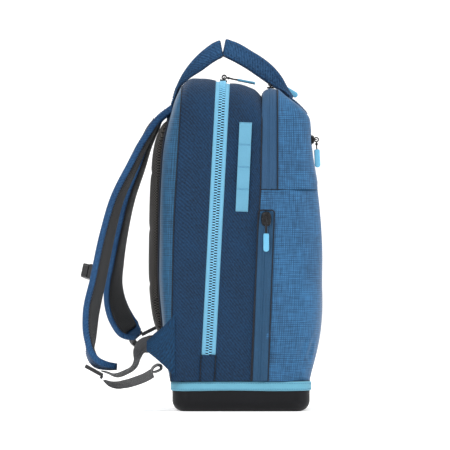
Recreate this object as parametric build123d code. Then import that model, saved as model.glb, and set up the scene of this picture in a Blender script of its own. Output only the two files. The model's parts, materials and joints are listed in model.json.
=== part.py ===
from build123d import *
import math
import os

# Racket backpack standing on its moulded base tray. Millimetres.
# +X points to the pocket side, -X to the wearer's back, -Y to the wearer's left, +Z up.
# The origin is the centre of the tray's flat underside.

# ---------------------------------------------------------------- driving dimensions
TRAY_DEPTH = 206.0
TRAY_WIDTH = 302.0
TRAY_HEIGHT = 40.0
TRAY_WALL = 3.5
TRAY_CORNER = 26.0
TRAY_EDGE = 17.0
BINDING_LOW = 31.0
BINDING_HIGH = 44.6
RIM = 45.0
HALF_WIDTH = 154.0
TOP_CORNER = 45.0
WALL = 4.0
SKIN = 3.0
WING_THICK = 2.4
SEAM_GAP = 1.0
REACH = 170.0

ZIP_FOOT = (-49.0, 78.0)
ZIP_HEAD = (-27.0, 495.0)
TAPE_HALF = 10.9
TEETH_HALF = 4.7
MIDLINE_GAP = 0.2
ZIP_START = 83.0
FOLD_ANGLE = 20.0
FOLD_GAP = 0.6

COMPARTMENT_BREAK = 332.0
COMPARTMENT_ZIP = (34.5, 55.0)
COMPARTMENT_COIL_X = 44.5
COIL_HALF = 2.6
SIDE_ZIP_TOP = 300.0
FRONT_ZIP_Z = 407.0
FRONT_ZIP_HALF_HEIGHT = 6.5
FRONT_ZIP_REACH = 126.0

WEBBING = 25.0
HANDLE_Y = 58.0
HANDLE_THICK = 5.0

# Side outline of the navy body: (x, height of the top).
TOP_LINE = [
    (-112, 468), (-90, 486), (-80, 496.5), (-36, 495.5), (-16, 491.5), (10, 486), (26, 480), (36, 472),
]
# Seam between the navy side and the back panel, bottom to top.
BACK_SEAM = [(-105.5, 40), (-103.6, 142), (-100, 294), (-93.7, 402), (-88.6, 487), (-86.5, 520)]
# Seam between the navy side and the front shell, bottom to top.
FRONT_SEAM = [(14.5, 40), (18, 121), (24.6, 250), (29, 332), (30.5, 402), (32, 474), (33, 520)]
# Outline of the front shell: (height, forward face).
FRONT_LINE = [
    (45, 103), (61, 106.5), (91, 113), (121, 118), (151, 121), (207, 121.5), (250, 120.6), (294, 118.5),
    (332, 115), (367, 109.8), (390, 107), (407, 105), (425, 104), (440, 101.5), (453, 91), (466, 75),
    (477, 61), (483, 53),
]
# Outline of the padded back panel: (height, how far it stands behind the seam).
BACK_BULGE = [
    (46, 2), (80, 8), (143, 15.5), (186, 19.5), (272, 21.5), (350, 23), (410, 21), (445, 14), (470, 5),
]


def between(table, value):
    """Linear interpolation in a table of (key, result) rows."""
    for (a, p), (b, q) in zip(table, table[1:]):
        if value <= b:
            return p + (q - p) * (value - a) / (b - a)
    return table[-1][1]


def seam_x(table, z):
    return between([(height, x) for x, height in table], z)


def zip_x(z):
    """The main zip leans forward: x of its midline at a height."""
    (x0, z0), (x1, z1) = ZIP_FOOT, ZIP_HEAD
    return x0 + (x1 - x0) * (z - z0) / (z1 - z0)


def side_zip_x(z):
    return 28.5 + 0.038 * (z - 50)


# ---------------------------------------------------------------- shared shapes
def body_section(x, inset):
    """Outline of the navy body across the bag at one x: straight sides, rounded top corners."""
    half, top, radius = HALF_WIDTH - inset, between(TOP_LINE, x) - inset, TOP_CORNER - inset
    foot = RIM if inset <= 0 else RIM - 10
    lean = radius * (1 - math.sqrt(0.5))
    edges = [
        Line((half, foot), (half, top - radius)),
        ThreePointArc((half, top - radius), (half - lean, top - lean), (half - radius, top)),
        Line((half - radius, top), (radius - half, top)),
        ThreePointArc((radius - half, top), (lean - half, top - lean), (-half, top - radius)),
        Line((-half, top - radius), (-half, foot)),
        Line((-half, foot), (half, foot)),
    ]
    plane = Plane(origin=(x, 0, 0), x_dir=(0, 1, 0), z_dir=(1, 0, 0))
    return plane * make_face(edges)


def body_block(inset):
    return loft([body_section(x, inset) for x, _ in TOP_LINE], ruled=True)


def front_section(z, inset):
    """Plan outline of the front shell at one height: open seam side, rounded front corners."""
    rise = max(0.0, z - (FRONT_LINE[-1][0] - TOP_CORNER))
    half = HALF_WIDTH - TOP_CORNER + math.sqrt(max(0.0, TOP_CORNER**2 - rise**2)) - inset
    front = between(FRONT_LINE, z) - inset
    rear = max(seam_x(FRONT_SEAM, z), 32 + 0.35 * (z - 472)) + 0.4
    radius = min(TOP_CORNER, 0.55 * (front - rear))
    lean = radius * (1 - math.sqrt(0.5))
    edges = [
        Line((rear, -half), (front - radius, -half)),
        ThreePointArc((front - radius, -half), (front - lean, lean - half), (front, radius - half)),
        Line((front, radius - half), (front, half - radius)),
        ThreePointArc((front, half - radius), (front - lean, half - lean), (front - radius, half)),
        Line((front - radius, half), (rear, half)),
        Line((rear, half), (rear, -half)),
    ]
    height = z if z < 440 else z - inset
    return Plane(origin=(0, 0, height)) * make_face(edges)


def front_block(inset):
    return loft([front_section(z, inset) for z, _ in FRONT_LINE], ruled=True)


def slab(edges, reach=REACH):
    """A flat outline in x and z, carried across the bag to both sides."""
    plane = Plane(origin=(0, 0, 0), x_dir=(1, 0, 0), z_dir=(0, -1, 0))
    return extrude(plane * make_face(edges), amount=reach, both=True)


def polygon(*points):
    return [Line(a, b) for a, b in zip(points, points[1:] + points[:1])]


def region(left, right, low, high):
    """Slab between two seam curves, each a list of (x, z) points that run bottom to top."""
    closed = [Polyline(*left), Polyline(*right), Line(left[0], right[0]), Line(left[-1], right[-1])]
    tall = slab(closed)
    return tall & Pos(0, 0, (low + high) / 2) * Box(600, 2 * REACH + 60, high - low)


def zip_line(offset):
    return [(zip_x(z) + offset, z) for z in (40, 520)]


def fold_z(x):
    return ZIP_FOOT[1] + (x - ZIP_FOOT[0]) * math.tan(math.radians(FOLD_ANGLE))


def above_fold():
    far = 150
    return slab(polygon(
        (ZIP_FOOT[0], ZIP_FOOT[1] + FOLD_GAP), (far, fold_z(far) + FOLD_GAP), (far, 560), (-80, 560),
        (-80, ZIP_FOOT[1] + FOLD_GAP),
    ))


def below_fold():
    far = 150
    return slab(polygon(
        (-80, 30), (far, 30), (far, fold_z(far) - FOLD_GAP), (ZIP_FOOT[0], ZIP_FOOT[1] - FOLD_GAP),
        (-80, ZIP_FOOT[1] - FOLD_GAP),
    ))


def plan(depth, width, corner, low, high):
    sketch = Plane(origin=(0, 0, low)) * RectangleRounded(depth, width, corner)
    return extrude(sketch, amount=high - low)


# ---------------------------------------------------------------- base
def base_tray():
    outer = plan(TRAY_DEPTH, TRAY_WIDTH, TRAY_CORNER, 0, TRAY_HEIGHT)
    outer = fillet(outer.edges().group_by(Axis.Z)[0], TRAY_EDGE)
    inner = plan(
        TRAY_DEPTH - 2 * TRAY_WALL, TRAY_WIDTH - 2 * TRAY_WALL, TRAY_CORNER - TRAY_WALL, TRAY_WALL,
        TRAY_HEIGHT + 1,
    )
    inner = fillet(inner.edges().group_by(Axis.Z)[0], TRAY_EDGE - TRAY_WALL)
    return outer - inner


def base_binding():
    """Tape sewn round the rim of the tray, standing just proud of it."""
    outer = plan(TRAY_DEPTH + 4, TRAY_WIDTH + 6, TRAY_CORNER + 2, BINDING_LOW, BINDING_HIGH)
    inner = plan(TRAY_DEPTH + 0.4, TRAY_WIDTH + 0.4, TRAY_CORNER + 0.2, BINDING_LOW - 1, BINDING_HIGH + 1)
    return outer - inner


# ---------------------------------------------------------------- rear half
def navy_wall():
    return body_block(0) - body_block(WALL)


def rear_gusset(wall):
    return wall & region(BACK_SEAM, zip_line(-TAPE_HALF - 0.1), RIM, 540)


def zip_end_patches(wall):
    patch = region(zip_line(-TAPE_HALF + 0.1), zip_line(TAPE_HALF - 0.1), RIM, ZIP_FOOT[1] - FOLD_GAP)
    return wall & patch


def main_zip_tape(side):
    """side is -1 for the rear tape and 1 for the front one."""
    band = body_block(1.0) - body_block(2.2)
    edges = sorted((side * MIDLINE_GAP, side * TAPE_HALF))
    return band & region(zip_line(edges[0]), zip_line(edges[1]), ZIP_START, 540)


def main_zip_teeth(side):
    band = body_block(-1.0) - body_block(0.9)
    edges = sorted((side * MIDLINE_GAP, side * TEETH_HALF))
    return band & region(zip_line(edges[0]), zip_line(edges[1]), ZIP_START, 540)


def back_border():
    """Crowned back panel: a flat side on the seam and a bulging side towards the wearer."""
    sections = []
    for z, bulge in BACK_BULGE:
        seam, half = seam_x(BACK_SEAM, z) - SEAM_GAP, HALF_WIDTH - 0.5
        if z > 440:
            half -= 10
        shoulder = 34
        outline = [
            Line((seam, -half), (seam, half)),
            Bezier((seam, half), (seam - bulge, half), (seam - bulge, half - shoulder)),
            Line((seam - bulge, half - shoulder), (seam - bulge, shoulder - half)),
            Bezier((seam - bulge, shoulder - half), (seam - bulge, -half), (seam, -half)),
        ]
        sections.append(Plane(origin=(0, 0, z)) * make_face(outline))
    return loft(sections, ruled=True)


def back_line(inset, low, high):
    """A curve parallel to the back seam."""
    heights = [low + (high - low) * k / 4 for k in range(5)]
    return [(seam_x(BACK_SEAM, z) + inset, z) for z in heights]


def back_plate(inset, thick, half, low, high, corner):
    """A thin panel parallel to the back seam, inside the bag."""
    left, right = back_line(inset, low, high), back_line(inset + thick, low, high)
    ends = [Line(left[0], right[0]), Line(left[-1], right[-1])]
    plate = slab([Polyline(*left), Polyline(*right), *ends], half)
    upright = [
        edge for edge in plate.edges().filter_by(GeomType.LINE)
        if abs(abs(edge.center().Y) - half) < 0.01 and edge.length < thick + 2
    ]
    return fillet(upright, corner) if corner else plate


def frame_sheet():
    return back_plate(0.4, 2.0, 140, 52, 468, 0)


def laptop_sleeve():
    return back_plate(22.0, 6.0, 135, 60, 400, 0)


def racket_divider():
    return back_plate(34.0, 4.0, 138, 50, 420, 0)


def back_pad(side):
    """One of two mesh pads, with an air channel between them."""
    near, far = 14.0, 106.0
    rows = [
        (108, 5, 0.80), (143, 11.5, 0.98), (186, 12, 1.0), (272, 12, 1.0), (350, 11.5, 1.0), (410, 10, 0.94),
        (440, 5, 0.78),
    ]
    sections = []
    for z, proud, spread in rows:
        root = seam_x(BACK_SEAM, z) - SEAM_GAP - between(BACK_BULGE, z) - 0.6
        middle, half = (near + far) / 2, (far - near) / 2 * spread
        outline = [
            Line((root, middle - half), (root, middle + half)),
            Bezier((root, middle + half), (root - proud, middle + half), (root - proud, middle + half - 18)),
            Line((root - proud, middle + half - 18), (root - proud, middle - half + 18)),
            Bezier((root - proud, middle - half + 18), (root - proud, middle - half), (root, middle - half)),
        ]
        sections.append(Plane(origin=(0, 0, z)) * make_face(outline))
    pad = loft(sections, ruled=True)
    return pad if side > 0 else mirror(pad, about=Plane.XZ)


def wing(side):
    """Triangle of folded fabric that anchors the strap webbing at the lower back corner."""
    outline = polygon((-99, 146), (-141, 102), (-141, 94), (-102, 52))
    triangle = slab(outline, WING_THICK / 2)
    return Pos(0, side * (HALF_WIDTH + WING_THICK / 2), 0) * triangle


# ---------------------------------------------------------------- front half
def front_wall():
    return front_block(0) - front_block(SKIN)


def front_gusset(wall):
    return wall & region(zip_line(TAPE_HALF + 0.1), FRONT_SEAM, RIM, 540) & above_fold()


def lower_gusset(wall):
    return wall & region(zip_line(TAPE_HALF + 0.1), FRONT_SEAM, RIM, 540) & below_fold()


def bulkhead():
    """Padded wall between the main compartment and the front compartment."""
    heights = (108, 190, 270, 350, 420, 464)
    left = [(seam_x(FRONT_SEAM, z) - 4.0, z) for z in heights]
    right = [(seam_x(FRONT_SEAM, z) - 0.8, z) for z in heights]
    plate = slab([Polyline(*left), Polyline(*right), Line(left[0], right[0]), Line(left[-1], right[-1])], 149)
    return plate & body_block(WALL + 0.5)


def compartment_band():
    """Region of the zip that runs over the top of the front compartment."""
    return Pos(sum(COMPARTMENT_ZIP) / 2, 0, (COMPARTMENT_BREAK + 560) / 2) * Box(
        COMPARTMENT_ZIP[1] - COMPARTMENT_ZIP[0] + 0.6, 2 * REACH, 560 - COMPARTMENT_BREAK
    )


def side_zip_band(half, low, high):
    points = [(side_zip_x(low), low), (side_zip_x(high), high)]
    (x0, z0), (x1, z1) = points
    return slab(polygon((x0 - half, z0), (x0 + half, z0), (x1 + half, z1), (x1 - half, z1)), REACH)


def front_zip_band(half_height):
    return Pos(100, 0, FRONT_ZIP_Z) * Box(60, 2 * FRONT_ZIP_REACH, 2 * half_height)


def front_shell(wall):
    """Lower part of the front shell, with the side pocket zips let into it."""
    low = Pos(0, 0, (COMPARTMENT_BREAK + 30) / 2) * Box(600, 2 * REACH, COMPARTMENT_BREAK - 30)
    return (wall & low & above_fold()) - side_zip_band(7.2, 60, SIDE_ZIP_TOP + 0.4)


def front_cover(wall):
    """Upper part of the front shell, in front of the compartment zip."""
    high = Pos(COMPARTMENT_ZIP[1] + 0.6 + 100, 0, (COMPARTMENT_BREAK + 560) / 2 + 0.2) * Box(
        200, 2 * REACH, 560 - COMPARTMENT_BREAK - 0.4
    )
    return (wall & high) - front_zip_band(FRONT_ZIP_HALF_HEIGHT + 0.2)


def lower_front(wall):
    return wall & below_fold()


def compartment_zip():
    tape = (front_block(0.6) - front_block(1.8)) & compartment_band()
    half = (COMPARTMENT_COIL_X - COIL_HALF, COMPARTMENT_COIL_X + COIL_HALF)
    centre = Pos(sum(half) / 2, 0, (COMPARTMENT_BREAK + 566) / 2)
    strip = centre * Box(half[1] - half[0], 2 * REACH, 560 - COMPARTMENT_BREAK)
    coil = (front_block(-0.8) - front_block(0.5)) & strip
    return [tape, coil]


def side_zip(side):
    low = fold_z(side_zip_x(110) + 8) + 2
    cut = Pos(0, side * REACH / 2, 0) * Box(600, REACH, 1200)
    tape = (front_block(0.6) - front_block(1.8)) & side_zip_band(7.0, low, SIDE_ZIP_TOP) & cut
    coil = (front_block(-0.8) - front_block(0.5)) & side_zip_band(COIL_HALF, low, SIDE_ZIP_TOP) & cut
    return [tape, coil]


def front_pocket_zip():
    tape = (front_block(0.6) - front_block(1.8)) & front_zip_band(FRONT_ZIP_HALF_HEIGHT)
    coil = (front_block(-0.8) - front_block(0.5)) & front_zip_band(COIL_HALF)
    return [tape, coil]


def side_pocket_bag(side):
    """Lining bag behind the side pocket zip."""
    outer = Pos(60, side * 128, 220) * Box(52, 40, 150)
    inner = Pos(60, side * 130, 222) * Box(49, 40, 151)
    return outer - inner


def front_pocket_bag():
    """Lining that hangs behind the front pocket zip."""
    return Pos(90, 0, 322) * Box(2, 240, 156)


def daisy_chain(side):
    """Webbing tacked down at five places, so that it stands off the panel in four loops."""
    pitch, rise, thick, width, loops = 32.4, 3.4, 1.4, 18.5, 4
    pieces = []
    for k in range(loops):
        start, end = k * pitch, (k + 1) * pitch
        mid = (start + end) / 2
        arch = [
            ThreePointArc((start, thick), (mid, rise + thick), (end, thick)),
            Line((end, thick), (end, 0)),
            ThreePointArc((end, 0), (mid, rise), (start, 0)),
            Line((start, 0), (start, thick)),
        ]
        pieces.append(extrude(make_face(arch), amount=width / 2, both=True))
    for k in range(loops + 1):
        pieces.append(Pos(k * pitch, thick / 2, 0) * Box(4, thick, width))
    strip = pieces[0].fuse(*pieces[1:])
    lean = (1.0, 0.0, 298.8), (7.0, 0.0, 432.6)
    direction = Vector(*lean[1]) - Vector(*lean[0])
    # local x runs up the strip, local y points away from the panel
    plane = Plane(
        origin=(lean[0][0], side * (HALF_WIDTH + 0.3), lean[0][2]),
        x_dir=direction,
        z_dir=direction.normalized().cross(Vector(0, side, 0)),
    )
    return plane * strip


# ---------------------------------------------------------------- handles
REAR_OUTER = [(-103, 470), (-98, 485), (-87, 507), (-69, 530), (-51, 546), (-35, 557)]
REAR_INNER = [(-98, 469), (-91, 489), (-79, 501), (-61, 513), (-45, 525), (-30.5, 534)]
FRONT_OUTER = [(80.5, 472), (71, 486), (61, 502.5), (47, 519), (32, 531), (14, 542), (-5, 553), (-20, 559)]
FRONT_INNER = [(73.5, 469), (62, 480.5), (46, 491), (26, 505), (10, 516), (-8, 526.5), (-25, 535)]


def handle(outer, inner, crown_x):
    """Two legs that rise towards the middle of the bag, joined by a crown across it."""
    band = [Spline(*outer), Spline(*inner), Line(outer[0], inner[0]), Line(outer[-1], inner[-1])]
    leg = slab(band, HANDLE_THICK / 2)
    (x0, z0), (x1, z1) = inner[-1], outer[-1]
    crown = slab(polygon((x0, z0), (x1, z1), (x1 + crown_x, z1), (x0 + crown_x, z0)), HANDLE_Y)
    legs = [Pos(0, side * HANDLE_Y, 0) * leg for side in (-1, 1)]
    return legs[0].fuse(crown, legs[1])


# ---------------------------------------------------------------- shoulder straps
# Centreline of each strap from its sewn top to its free end: x, y, z, width, turn about the path in degrees.
STRAP_LEFT = [
    (-106, -62, 455.5, 52, 0), (-124, -64, 441, 56, 0), (-144, -68, 411, 60, 3), (-167, -76, 365, 62, 7),
    (-187, -84, 322, 62, 10), (-203, -92, 264, 62, 13), (-217, -98, 195, 60, 15), (-227, -102, 147, 58, 16),
    (-226, -104, 108, 54, 8), (-221, -105, 84, 48, -6), (-210, -106, 70, 42, -12), (-198, -106, 65, 36, -10),
    (-185, -106, 63, 28, -6),
]
STRAP_RIGHT = [
    (-106, 62, 455.5, 52, 0), (-124, 64, 441, 56, 0), (-141, 68, 411, 60, 3), (-157, 76, 365, 62, 6),
    (-172, 84, 322, 62, 8), (-184, 90, 270, 62, 10), (-192, 94, 222, 60, 14), (-196, 95, 186, 58, 20),
    (-193, 94, 160, 56, 28), (-184, 92, 136, 54, 34), (-171, 89, 118, 50, 36), (-157, 86, 109, 42, 36),
]
COVER_THICK = 3.0
PAD_THICK = 9.0
LAYER_GAP = 0.8


def strap_frames(stations):
    """Origin, direction, width direction and outward normal at each station."""
    points = [Vector(x, y, z) for x, y, z, _, _ in stations]
    frames = []
    for k, (point, station) in enumerate(zip(points, stations)):
        ahead, behind = points[min(k + 1, len(points) - 1)], points[max(k - 1, 0)]
        along = (ahead - behind).normalized()
        across = Vector(0, 1, 0)
        across = (across - along * across.dot(along)).normalized()
        across = across.rotate(Axis((0, 0, 0), along), station[4])
        outward = across.cross(along).normalized()
        frames.append((point, along, across, outward))
    return frames


def strap_layer(stations, inner, outer):
    """A flat layer of a strap between two distances from its centreline, outward positive."""
    sections = []
    for (point, along, across, outward), station in zip(strap_frames(stations), stations):
        plane = Plane(origin=point + outward * ((inner + outer) / 2), x_dir=across, z_dir=along)
        sections.append(plane * Rectangle(station[3], outer - inner))
    return loft(sections, ruled=True)


def strap_place(stations, height, outward_by):
    """Plane on a strap at a height: x across it, y outward and z back up along it."""
    frames = strap_frames(stations)
    for (p, a, w, _), (q, b, u, _) in zip(frames, frames[1:]):
        if q.Z <= height <= p.Z:
            share = (p.Z - height) / (p.Z - q.Z)
            point = p + (q - p) * share
            along = (a + (b - a) * share).normalized()
            across = w + (u - w) * share
            across = (across - along * across.dot(along)).normalized()
            return Plane(origin=point + across.cross(along) * outward_by, x_dir=across, z_dir=-along)
    raise ValueError(height)


def ladder_lock(place):
    """Webbing buckle: a frame with three slots and a lifting lip at its lower end."""
    body = fillet(Box(33, 5, 30).edges().filter_by(Axis.Y), 3)
    for height in (-8.5, 0, 9.5):
        body -= Pos(0, 0, height) * Box(26, 6, 4.4)
    return place * (body + Pos(0, 3.0, -14.5) * Box(30, 5, 4))


def ribbon(points, width, thick, turns):
    """Flat webbing along a route, its face turned about the route by an angle at each point."""
    stations = [(*point, width, turn) for point, turn in zip(points, turns)]
    return strap_layer(stations, -thick / 2, thick / 2)


# ---------------------------------------------------------------- sternum strap
def sternum_clip(place):
    """Sliding block on the strap's rail, with a slot for the webbing."""
    body = fillet(Box(34, 7.5, 22).edges().filter_by(Axis.X), 2)
    return place * (Pos(0, 4.4, 0) * (body - Box(26, 2.2, 30)))


def sternum_buckle(place, female):
    """Buckle half that lies folded over the clip: a sleeve with a mouth, or a plug with three prongs."""
    if female:
        half = fillet(Box(36, 8.5, 21).edges().filter_by(Axis.Y), 4)
        half -= Pos(8, 0, 0) * Box(26, 5, 15)
    else:
        half = Pos(10, 0, 0) * Box(14, 8, 21) + [Pos(-7, 0, z) * Box(22, 4.5, 3.6) for z in (-7, 0, 7)]
    return place * (Pos(0, 13.4, 0) * half)


# ---------------------------------------------------------------- zip sliders and pulls
PLATE_GAP = 1.3
PLATE = 2.5
BAR_HEIGHT = 8.0
CORD = 0.9
RING = 3.1


def slider(place, across=False):
    """Zip slider. Local x is the travel direction. Local z points away from the chain, whose top is z = 0."""
    top = Pos(0, 0, PLATE_GAP + PLATE / 2) * Box(15, 11, PLATE)
    top = fillet(top.edges().filter_by(Axis.Z), 3.5)
    bridge = Pos(0, 0, BAR_HEIGHT - 1.7) * Box(12, 1.7, 5.0)
    bridge -= Pos(0, 0, BAR_HEIGHT - 2.5) * Box(8.0, 3, 3.4)
    bridge = fillet(bridge.edges().filter_by(Axis.Y).group_by(Axis.Z)[-1], 1.4)
    bottom = Pos(0, 0, -4.6) * Box(12, 10, 1.2)
    turn = Rot(0, 0, 90) if across else Rot(0, 0, 0)
    return [place * (top + turn * bridge), place * bottom]


def pull(pivot, direction, axle, tab_turned=False, stem=9.0, tab_length=28.0):
    """Cord ring round the slider's bar, a stem and a rubber tab. It turns about axle through pivot."""
    place = Plane(origin=pivot, x_dir=direction, z_dir=axle)
    ring = Torus(RING, CORD)
    near = RING + CORD - 0.3
    legs = Pos(near + stem / 2, 0, 0) * Box(stem, 1.8, 3.4)
    collar = Pos(near + 1.6, 0, 0) * Box(3.2, 3.6, 4.6)
    tab = Pos(near + stem + tab_length / 2, 0, 0) * Box(tab_length, 4.0, 9.2)
    tab = fillet(tab.edges().filter_by(Axis.Y).group_by(Axis.X)[-1], 4.4)
    tab = fillet(tab.edges().filter_by(Axis.X), 1.2)
    if tab_turned:
        tab = Rot(90, 0, 0) * tab
    cord = ring.fuse(legs, collar) - tab
    return [place * cord, place * tab]


def tilted(degrees):
    """Direction in the x-z plane, measured up from +X."""
    return Vector(math.cos(math.radians(degrees)), 0, math.sin(math.radians(degrees)))


def write(name, *shapes):
    """One STEP file per node; a node of several pieces is a group of separate solids."""
    flat = []
    for shape in shapes:
        flat += shape if isinstance(shape, list) else [shape]
    solids = [solid for shape in flat for solid in shape.solids()]
    node = solids[0] if len(solids) == 1 else Compound(children=solids)
    export_step(node, os.path.join("parts", f"{name}.step"))


def write_slider(
    name, origin, travel, outward, direction, axle, across=False, turned=False, lengths=(9.0, 28.0)
):
    place = Plane(origin=origin, x_dir=travel, z_dir=outward)
    write(f"{name}_slider", slider(place, across))
    pivot = Vector(*origin) + Vector(*outward).normalized() * BAR_HEIGHT
    write(f"{name}_pull", pull(pivot, direction, axle, turned, *lengths))


def write_zip_pulls():
    slope = Vector(0.196, 0, 0.981)
    for name, side in (("main_left", -1), ("main_right", 1)):
        write_slider(
            name, (-26.8, side * 12.5, 494.7), (0, side, 0), tuple(slope), tilted(-11), (0, 1, 0),
            lengths=(17.0, 27.0),
        )
    write_slider(
        "compartment", (45, -30, 483.8), (0, 1, 0), (0, 0, 1), tilted(-21), (0, 1, 0), lengths=(12.0, 30.0)
    )
    for name, side in (("side_left", -1), ("side_right", 1)):
        write_slider(
            name, (side_zip_x(288), side * (HALF_WIDTH + 0.8), 288), (-0.038, 0, -1), (0, side, 0),
            Vector(0, 0, -1), (1, 0, 0), across=True,
        )
    write_slider(
        "front", (104.9, -118, FRONT_ZIP_Z), (0, 1, 0), (1, 0, 0), Vector(0.05, 0, -1), (0, 1, 0), turned=True
    )


# Adjuster webbing and its free tail on each side: route points and turns of the face.
WEBBING_LEFT = [
    (-134, -152.5, 101), (-143, -151.8, 99), (-151, -149, 91), (-155, -144, 78), (-162, -136, 66),
    (-174, -127, 58), (-188, -117, 54), (-204, -107, 58),
]
WEBBING_RIGHT = [
    (-132, 152.5, 98), (-141, 151.5, 97), (-149, 147, 97), (-156, 139, 99), (-161, 130, 102),
    (-160.5, 124, 105.5), (-157.5, 121, 108),
]
TAIL_LEFT = [
    (-205, -107, 46), (-198, -108, 42), (-187, -111, 39.5), (-173, -116, 41), (-157, -122, 45.5),
    (-143, -126, 51), (-124, -129, 62),
]
TAIL_RIGHT = [(-140, 121, 110), (-136, 121, 100), (-129, 121, 90), (-121, 121, 81)]


def write_straps():
    places = {
        "left": (STRAP_LEFT, (-220.5, -106, 60.5), (-0.876, 0, 0.48), 206.0),
        "right": (STRAP_RIGHT, (-138, 121, 118), (0.894, 0, 0.447), 212.0),
    }
    for name, (stations, lock_origin, lock_up, sternum_height) in places.items():
        write(f"strap_cover_{name}", strap_layer(stations, 0, COVER_THICK))
        write(f"strap_pad_{name}", strap_layer(stations[1:-1], -LAYER_GAP - PAD_THICK, -LAYER_GAP))
        write(f"ladder_lock_{name}", ladder_lock(Plane(origin=lock_origin, x_dir=(0, 1, 0), z_dir=lock_up)))
        place = strap_place(stations, sternum_height, COVER_THICK)
        write(f"sternum_clip_{name}", sternum_clip(place))
        write(f"sternum_buckle_{name}", sternum_buckle(place, female=name == "left"))
    write("webbing_left", ribbon(WEBBING_LEFT, WEBBING, 1.6, (90, 86, 50, 18, 18, 17, 14, 4)))
    write("webbing_right", ribbon(WEBBING_RIGHT, WEBBING, 1.6, (90, 84, 55, 35, 15, 4, 0)))
    write("tail_left", ribbon(TAIL_LEFT, WEBBING, 2.0, (4, 14, 24, 28, 30, 30, 30)))
    write("tail_right", ribbon(TAIL_RIGHT, WEBBING, 2.0, (0, 0, 0, 0)))


def main():
    os.makedirs("parts", exist_ok=True)
    navy, blue = navy_wall(), front_wall()

    write("base_tray", base_tray())
    write("base_binding", base_binding())
    write("base_board", plan(TRAY_DEPTH - 12, TRAY_WIDTH - 12, TRAY_CORNER - 6, 33, 36))
    write("rear_gusset", rear_gusset(navy))
    write("zip_end_patches", zip_end_patches(navy))
    for name, side in (("rear", -1), ("front", 1)):
        write(f"main_zip_tape_{name}", main_zip_tape(side))
        write(f"main_zip_teeth_{name}", main_zip_teeth(side))
    write("back_border", back_border())
    write("frame_sheet", frame_sheet())
    write("laptop_sleeve", laptop_sleeve())
    write("racket_divider", racket_divider())
    write("lower_gusset", lower_gusset(navy))
    write("lower_front", lower_front(blue))
    write("front_gusset", front_gusset(navy))
    write("bulkhead", bulkhead())
    write("front_shell", front_shell(blue))
    write("front_cover", front_cover(blue))
    write("compartment_zip", compartment_zip())
    write("front_pocket_zip", front_pocket_zip())
    write("front_pocket_bag", front_pocket_bag())
    write("daisy_chain", daisy_chain(-1))
    for name, side in (("left", -1), ("right", 1)):
        write(f"back_pad_{name}", back_pad(side))
        write(f"wing_{name}", wing(side))
        write(f"side_zip_{name}", side_zip(side))
        write(f"side_pocket_bag_{name}", side_pocket_bag(side))
    write("rear_handle", handle(REAR_OUTER, REAR_INNER, 4.5))
    write("front_handle", handle(FRONT_OUTER, FRONT_INNER, 4.5))
    write_straps()
    write_zip_pulls()


main()
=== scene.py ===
import json
import math

import bmesh
import bpy
import numpy as np
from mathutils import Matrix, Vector


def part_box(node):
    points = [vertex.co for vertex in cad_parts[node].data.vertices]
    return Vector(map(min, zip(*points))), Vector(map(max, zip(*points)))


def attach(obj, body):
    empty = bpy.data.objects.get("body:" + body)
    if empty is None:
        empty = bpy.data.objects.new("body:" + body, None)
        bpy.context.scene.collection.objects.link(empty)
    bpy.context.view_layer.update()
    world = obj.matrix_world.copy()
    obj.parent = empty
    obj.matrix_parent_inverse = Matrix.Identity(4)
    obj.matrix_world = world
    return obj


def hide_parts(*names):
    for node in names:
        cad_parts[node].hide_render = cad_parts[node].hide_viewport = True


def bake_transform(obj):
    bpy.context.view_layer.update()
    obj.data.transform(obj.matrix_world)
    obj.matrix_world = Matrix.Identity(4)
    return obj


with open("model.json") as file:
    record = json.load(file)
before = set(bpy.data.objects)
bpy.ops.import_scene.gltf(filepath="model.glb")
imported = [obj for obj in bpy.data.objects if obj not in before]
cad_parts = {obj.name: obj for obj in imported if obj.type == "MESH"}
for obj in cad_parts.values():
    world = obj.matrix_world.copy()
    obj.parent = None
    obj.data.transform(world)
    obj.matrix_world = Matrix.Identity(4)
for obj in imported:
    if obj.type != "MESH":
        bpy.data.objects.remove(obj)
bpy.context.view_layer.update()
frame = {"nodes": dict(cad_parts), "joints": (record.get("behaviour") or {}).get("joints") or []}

MM = 0.001
QUARTER = math.pi / 2
SIDES = (("left", -1), ("right", 1))

# ---------------------------------------------------------------- sizes shared with the CAD frame
low_gusset, high_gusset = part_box("rear_gusset")
HALF_WIDTH = high_gusset[1]
RIM = low_gusset[2]
CORNER = 45 * MM
ZIP_FOOT = (-49 * MM, 78 * MM)
ZIP_HEAD = (-27 * MM, 495 * MM)
ZIP_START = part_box("main_zip_tape_rear")[0][2]
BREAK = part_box("compartment_zip")[0][2]
SIDE_ZIP_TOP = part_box("side_zip_left")[1][2]
SHOULDER = 438 * MM

TOP_LINE = [(-112, 468), (-90, 486), (-80, 495), (-60, 497), (-36, 495.5), (-16, 491.5), (10, 485.5),
            (22, 480), (32, 470)]
BACK_SEAM = [(40, -105.5), (142, -103.6), (294, -100), (402, -93.7), (487, -88.6), (520, -86.5)]
FRONT_SEAM = [(40, 14.5), (121, 18), (250, 24.6), (332, 29), (402, 30.5), (474, 32), (520, 33)]
FRONT_LINE = [(45, 103), (61, 106.5), (91, 113), (121, 118), (151, 121), (207, 121.5), (250, 120.6),
              (294, 118), (332, 115), (367, 109.8), (390, 107), (407, 105), (425, 104), (440, 101),
              (453, 91), (466, 75.5), (476, 62.5), (483, 55)]
BACK_BULGE = [(45, 1), (80, 8), (143, 15.5), (186, 19.5), (272, 21.5), (350, 23), (410, 21), (445, 14),
              (470, 8), (487, 1)]


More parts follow.
